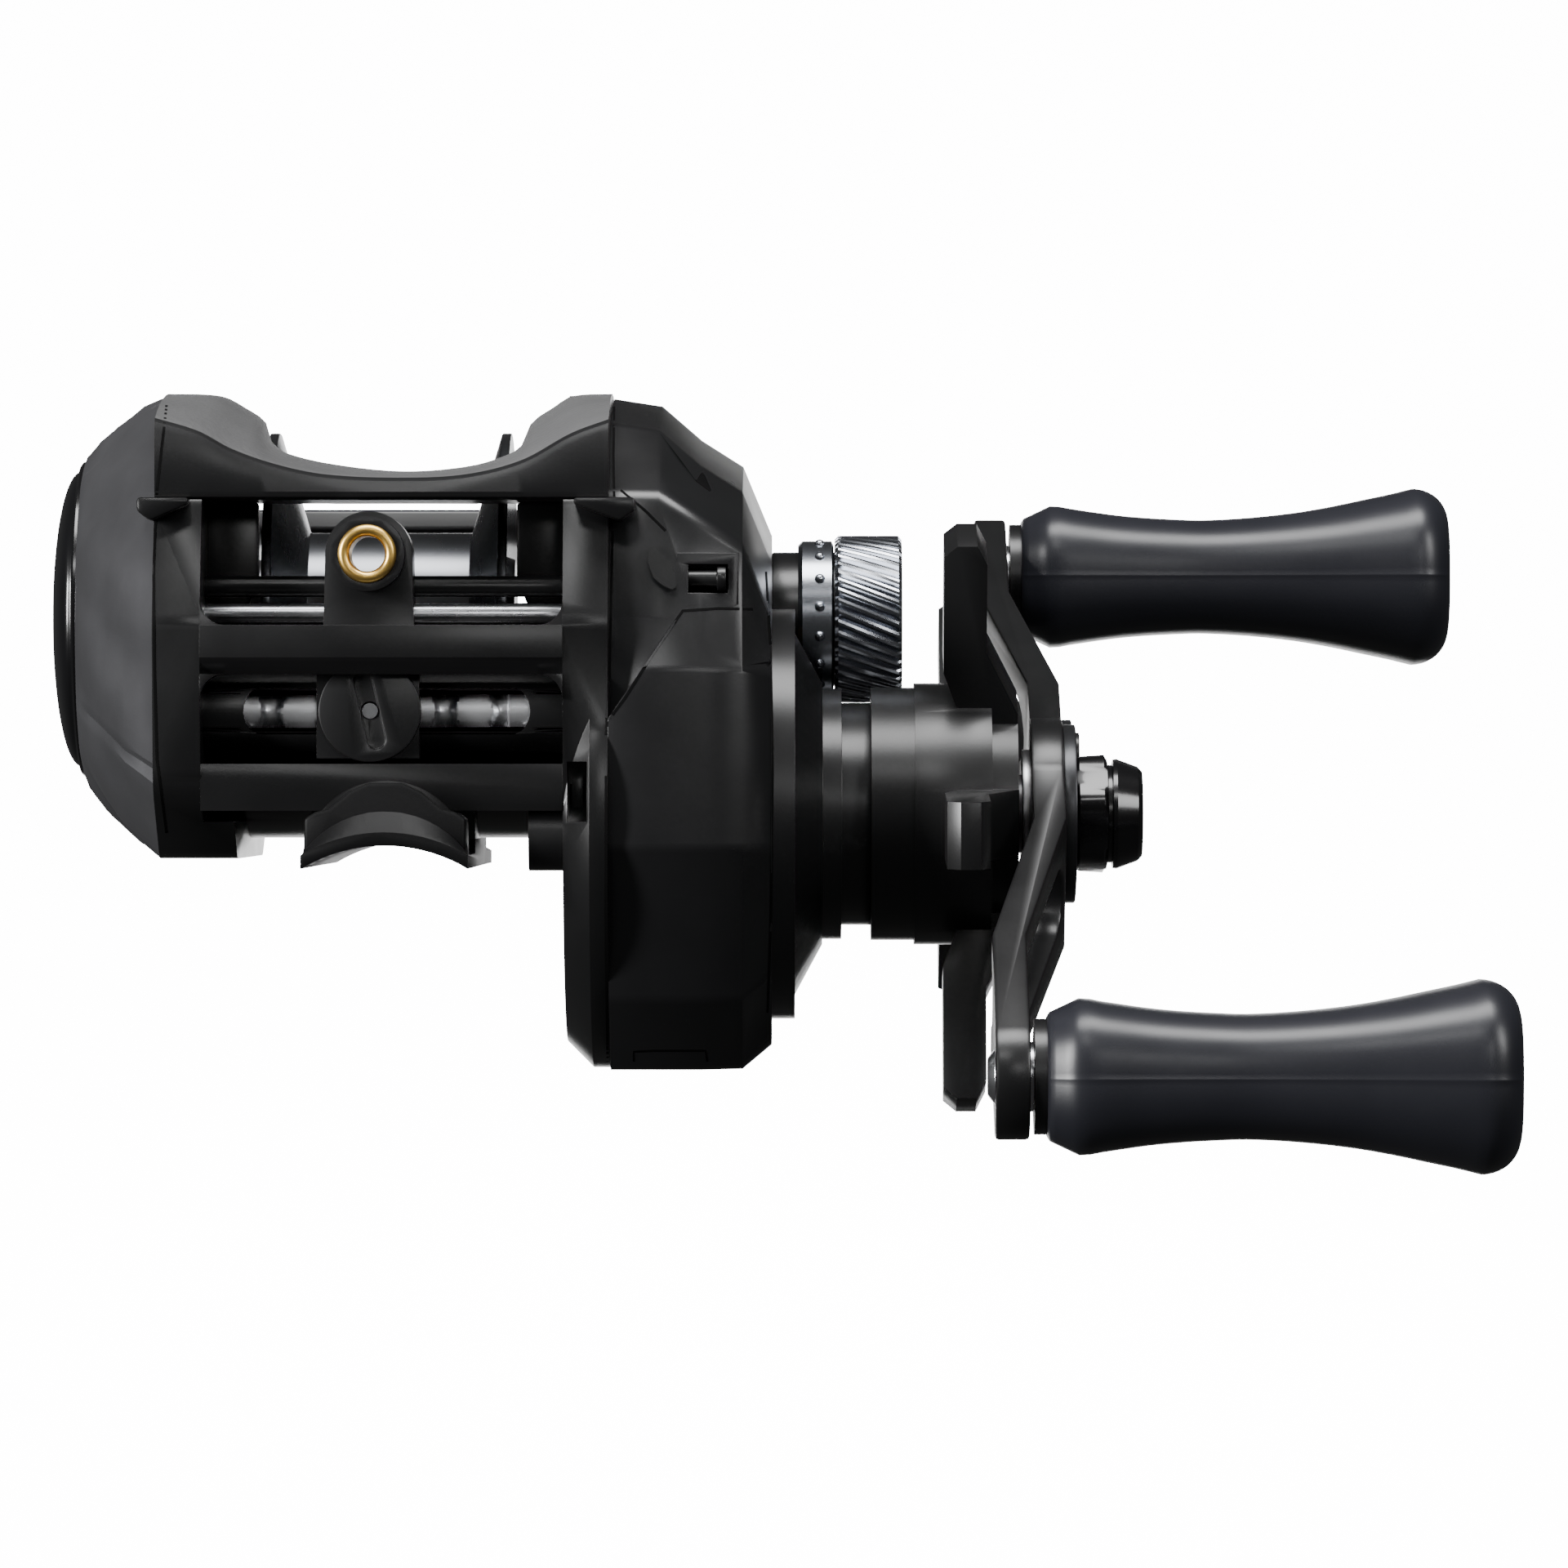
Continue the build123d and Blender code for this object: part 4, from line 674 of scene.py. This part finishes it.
def brake_dial():
    """Dial sunk flush in the crown, with a bar across its dished middle to turn it by."""
    rows = [(-29.7, 2.0), (-29.7, DIAL_RADIUS), (dome_x(DIAL_RADIUS) + 0.2, DIAL_RADIUS)]
    rows.append((dome_x(DIAL_RADIUS) + 0.02, DIAL_RADIUS - 0.2))
    rows += [(dome_x(radius) + 0.02, radius) for radius in (6, 5, 4.6)]
    rows += [(dome_x(4.5) + 0.35, 4.4), (dome_x(4.3) + 0.35, 2), (dome_x(4.3) + 0.35, 0.001)]
    shape = bmesh.new()
    turned(shape, rows, (0, SPOOL_Z))
    piece("brake_dial_rim", shape, "brake_dial", "gloss_black", ["brake_dial"])
    bar = [(-31.4, y, SPOOL_Z + z) for y, z in ((-4.3, -0.8), (4.3, -0.8), (4.3, 0.8), (-4.3, 0.8))]
    slab("brake_dial_grip", bar, 0.55, (-1, 0, 0), "brake_dial", "gloss_black", 0.2)


palm_disc()
brake_dial()

# ---- corners of the line window and the front of the foot ----


def window_corner(side, inner, outer):
    """A shoulder under the visor and a shield that keeps line off the spool's edge."""
    lip = [
        (inner, -31.4, 31.1), (outer, -31.4, 31.1), (outer, -31.4, 29.9),
        ((outer * 3 + inner) / 4, -31.4, 29.0), (inner, -31.4, 30.5),
    ]
    slab(side + "_shoulder", lip, 3.6, (0, 1, 0), "frame", "frame_black", 0.3)
    shield = [
        (inner * 0.96, -20.4, 31.0), (inner * 0.68, -20.4, 31.0), (inner * 0.68, -20.4, 24.0),
        (inner * 0.78, -20.4, 20.0), (inner * 0.96, -20.4, 20.0),
    ]
    slab(side + "_line_shield", shield, 1.6, (0, 1, 0), "frame", "frame_black", 0.3)


window_corner("left", -17.6, -22.2)
window_corner("right", 16.8, 22.3)


def foot_shoulder():
    """Solid front of the foot: upright sides over the saddle and a crown below the lower bar."""
    saddle, half_width, front, points = 14.5, 7.2, -32.4, 17
    saddle_x = [half_width - 2 * half_width * k / (points - 1) for k in range(points)]
    outline = [(x, front, math.sqrt(saddle**2 - x**2) - saddle) for x in saddle_x]
    crown = [(half_width, 2.4), (6.2, 3.0), (5.0, 3.3), (3.2, 4.8), (1.5, 5.6)]
    outline += [(-x, front, z) for x, z in crown] + [(x, front, z) for x, z in crown[::-1]]
    slab("foot_shoulder", outline, 8.0, (0, 1, 0), "frame", "foot_black", 0.35)


foot_shoulder()

# ---- worm cover ----
SLOT_HALF, SLOT_STRETCH, SLOT_REACH = 1.68, 1.24, 15.5


def worm_cover():
    """Worm tube with a wide rounded slot that shows the screw."""
    shape = cad_shape("worm_tube")
    for vert in shape.verts:
        side, rise = vert.co.y - WORM.y, vert.co.z - WORM.z
        if side < -1.0 * MM and abs(rise) < SLOT_HALF * MM and abs(vert.co.x) < SLOT_REACH * MM:
            reach = math.hypot(side, rise)
            rise *= SLOT_STRETCH
            vert.co.y = WORM.y - math.sqrt(reach**2 - rise**2)
            vert.co.z = WORM.z + rise
    soften(shape, 0.12)
    piece("worm_cover", shape, "frame", "frame_black", ["worm_tube"])


worm_cover()

# ---- the other visible nodes, with the width of their rounded edges ----
SOFTENED = {
    "frame": 0.2, "reel_foot": 0.25, "gear_side_cover": 0.6, "cover_screws": 0.1, "cast_thread_sleeve": 0.15,
    "spool": 0.12, "drag_star": 0.35, "handle_plate": 0.3, "nut_keeper": 0.15, "keeper_screw": 0.08,
    "upper_guide_rod": 0.1, "lower_guide_rod": 0.1, "line_guide": 0.15, "pawl_cap": 0.15, "thumb_bar": 0.3,
    "knob_shafts": 0.1, "handle_washer": 0.05,
}
for soft_node, soft_width in SOFTENED.items():
    dressed(soft_node, soft_width)

# ---- painted shade along the front seams, ledges, folds, scoop and foot outline, and the finger lever on the front: rows of (x, z, width) ----
FRONT_SHADE_LINES = {
    "gear_seam_top_shade": [(20.0, 40.6, 0.22), (19.93, 35.5, 0.22), (20.0, 31.9, 0.22)],
    "gear_seam_side_shade": [(19.85, 28.75, 0.22), (19.7, 22.0, 0.22), (19.55, 15.25, 0.22), (19.25, 10.0, 0.22)],
    "gear_seam_foot_shade": [(19.25, 6.25, 0.22), (19.25, -6.5, 0.22), (19.4, -20.0, 0.22)],
    "palm_seam_shade": [
        (-21.1, 40.3, 0.24), (-22.0, 32.5, 0.24), (-22.3, 25.0, 0.24), (-22.22, 16.0, 0.24),
        (-22.0, 7.75, 0.24), (-21.1, 1.0, 0.24),
    ],
    "cover_ledge_shade": [
        (19.55, 11.5, 0.25), (20.98, 13.38, 0.25), (23.6, 17.5, 0.25), (26.3, 21.4, 0.25),
        (29.6, 21.62, 0.25), (32.75, 21.55, 0.25),
    ],
    "cover_fold_shade": [(20.6, 32.5, 0.2), (22.85, 30.62, 0.24), (24.73, 28.75, 0.24)],
    "boss_line_shade": [
        (33.95, 25.0, 0.2), (34.4, 17.5, 0.25), (34.55, 6.25, 0.25), (34.4, -6.5, 0.25), (34.1, -15.5, 0.2),
    ],
    "cover_scoop_shade": [
        (24.05, 38.2, 0.2), (25.1, 37.0, 0.9), (26.6, 35.2, 1.5), (27.95, 33.55, 1.0), (28.85, 32.42, 0.2),
    ],
    "foot_outline_shade": [
        (21.8, -20.0, 0.18), (21.8, -19.1, 0.18), (23.6, -19.02, 0.18), (28.4, -19.02, 0.18),
        (28.55, -20.0, 0.18),
    ],
}
LEVER = [(23.38, 27.25, 0.5), (23.83, 26.2, 1.6), (24.5, 25.0, 2.1), (25.1, 24.1, 1.4), (25.55, 23.5, 0.5)]
LINE_PLANE_Y = -9  # the plane that the rows lie in before they are laid on the covers
LINE_STEP = 0.4
LINE_ROOT = 0.3  # how deep a line is set into the cover
DEEPEST_STEP = 2.5  # a line skips places where the cover falls away further than this across it
VIEW_FROM = Vector((35.6, -809, 5.5))


def front_surface():
    """The outside of the fixed covers, for laying the painted shade strips and the finger lever on."""
    shape = bmesh.new()
    for name in ("frame_surface", "gear_side_cover_surface", "palm_plate_petals", "visor_hood"):
        shape.from_mesh(bpy.data.objects[name].data)
    return BVHTree.FromBMesh(shape)


def spread_out(rows):
    """The rows with more rows between them, at even steps."""
    spots = []
    for (x0, z0, w0), (x1, z1, w1) in zip(rows, rows[1:]):
        steps = max(2, int(math.hypot(x1 - x0, z1 - z0) / LINE_STEP))
        for k in range(steps):
            spots.append((x0 + (x1 - x0) * k / steps, z0 + (z1 - z0) * k / steps, w0 + (w1 - w0) * k / steps))
    return spots + [rows[-1]]


def strip(name, rows, lift, material=None):
    """A thin strip on the covers, following their surface from point to point: a painted shade line in the
    shadow finish, a raised moulding in the cover's own finish.
    """
    spots = spread_out(rows)
    rings = []
    for k, (x, z, width) in enumerate(spots):
        ahead, behind = spots[min(k + 1, len(spots) - 1)], spots[max(k - 1, 0)]
        run = Vector((ahead[0] - behind[0], 0, ahead[1] - behind[1])).normalized()
        side = Vector((-run.z, 0, run.x)) * width / 2
        ring = []
        for across in (side, -side):
            aim = (Vector((x, LINE_PLANE_Y, z)) + across - VIEW_FROM).normalized()
            hit = SURFACE.ray_cast(VIEW_FROM * MM, aim)[0]
            if hit is not None:
                ring.append((hit / MM - aim * lift, hit / MM + aim * LINE_ROOT))
        if len(ring) == 2 and abs(ring[0][0].y - ring[1][0].y) < DEEPEST_STEP:
            rings.append([ring[0][0], ring[1][0], ring[1][1], ring[0][1]])
    shape = bmesh.new()
    skin(shape, rings)
    piece(name, shape, "frame", "frame_black", (), material, sharp=40)


SURFACE = front_surface()
# painted shade: near-black strips laid over the seams, ledges, folds, the scoop recess and the foot outline,
# where shade falls
SHADOW = finish("seam_shadow", (0.0015, 0.0015, 0.0016), 0.8, bump=0.05, specular=0.1)
for shade_line_name, shade_line_rows in FRONT_SHADE_LINES.items():
    strip(shade_line_name, shade_line_rows, 0.03, SHADOW)
strip("finger_lever", LEVER, 1.0)

# ---- camera, lights and backdrop ----


def front_camera():
    """Long lens, level with the line window, looking straight along +Y."""
    data = bpy.data.cameras.new("camera")
    data.lens = 200
    data.sensor_width = 36
    data.clip_start = 0.01
    camera = bpy.data.objects.new("camera", data)
    camera.location = VIEW_FROM * MM
    camera.rotation_euler = (math.pi / 2, 0, 0)
    bpy.context.scene.collection.objects.link(camera)
    bpy.context.scene.camera = camera


front_camera()


def softbox(name, at, size, power, look=(0.03, 0, 0.01)):
    """A rectangular area light aimed at the reel; places and sizes in metres."""
    data = bpy.data.lights.new(name, "AREA")
    data.shape = "RECTANGLE"
    data.size, data.size_y = size
    data.energy = power
    lamp = bpy.data.objects.new(name, data)
    lamp.location = at
    lamp.rotation_euler = (Vector(look) - Vector(at)).to_track_quat("-Z", "Y").to_euler()
    bpy.context.scene.collection.objects.link(lamp)


softbox("top_softbox", (0.04, -0.12, 0.5), (0.45, 0.22), 5)
softbox("left_softbox", (-0.6, -0.35, 0.14), (0.1, 0.3), 9)
softbox("right_softbox", (0.55, -0.45, 0.3), (0.14, 0.3), 2)
softbox("front_fill", (-0.15, -0.7, 0.6), (0.25, 0.12), 1.0)
softbox("camera_side_panel", (0.25, -1.0, 0.3), (0.3, 0.12), 0.8)

STUDIO_WHITE = 14.0  # strength of the backdrop and the world as the camera sees them


def camera_only_light(tree, dim):
    """A strength that is studio white to the camera and dim to the reel."""
    ray = add(tree, "ShaderNodeLightPath")
    level = add(
        tree, "ShaderNodeMapRange", [("Value", ray.outputs["Is Camera Ray"])], to_min=dim, to_max=STUDIO_WHITE
    )
    return level.outputs["Result"]


def studio_world():
    """White to the camera from every side, nearly dark to the reel."""
    world = bpy.data.worlds.new("studio")
    world.use_nodes = True
    background = world.node_tree.nodes["Background"].inputs
    background["Color"].default_value = (1, 1, 1, 1)
    world.node_tree.links.new(camera_only_light(world.node_tree, 0.05), background["Strength"])
    bpy.context.scene.world = world


studio_world()


def studio_sweep():
    """White backdrop behind the reel, curving forward into a floor well below it; in metres."""
    floor_z, top_z, far, bend = cad_low.z - 0.13, 0.16, 0.7, 0.08
    floor_front, left, width, bend_steps = far - 0.15, -0.12, 0.31, 12
    run = [(left, floor_front, floor_z)]
    for step in range(bend_steps + 1):
        turn = math.pi / 2 * step / bend_steps
        run.append((left, far - bend + bend * math.sin(turn), floor_z + bend * (1 - math.cos(turn))))
    run.append((left, far, top_z))
    shape = bmesh.new()
    verts = [shape.verts.new(point) for point in run]
    edges = [shape.edges.new(pair) for pair in zip(verts, verts[1:])]
    made = bmesh.ops.extrude_edge_only(shape, edges=edges)
    moved = [part for part in made["geom"] if isinstance(part, bmesh.types.BMVert)]
    bmesh.ops.translate(shape, vec=(width, 0, 0), verts=moved)
    bmesh.ops.recalc_face_normals(shape, faces=shape.faces)
    mesh = bpy.data.meshes.new("backdrop")
    shape.to_mesh(mesh)
    shape.free()
    for polygon in mesh.polygons:
        polygon.use_smooth = True
    backdrop = bpy.data.objects.new("backdrop", mesh)
    bpy.context.scene.collection.objects.link(backdrop)
    paper = finish("lit_white_paper", (0.9, 0.9, 0.9), 0.8, bump=0.02, change=0.01)
    shader = paper.node_tree.nodes["Principled BSDF"].inputs
    shader["Emission Color"].default_value = (1, 1, 1, 1)
    paper.node_tree.links.new(camera_only_light(paper.node_tree, 3.0), shader["Emission Strength"])
    mesh.materials.append(paper)


studio_sweep()
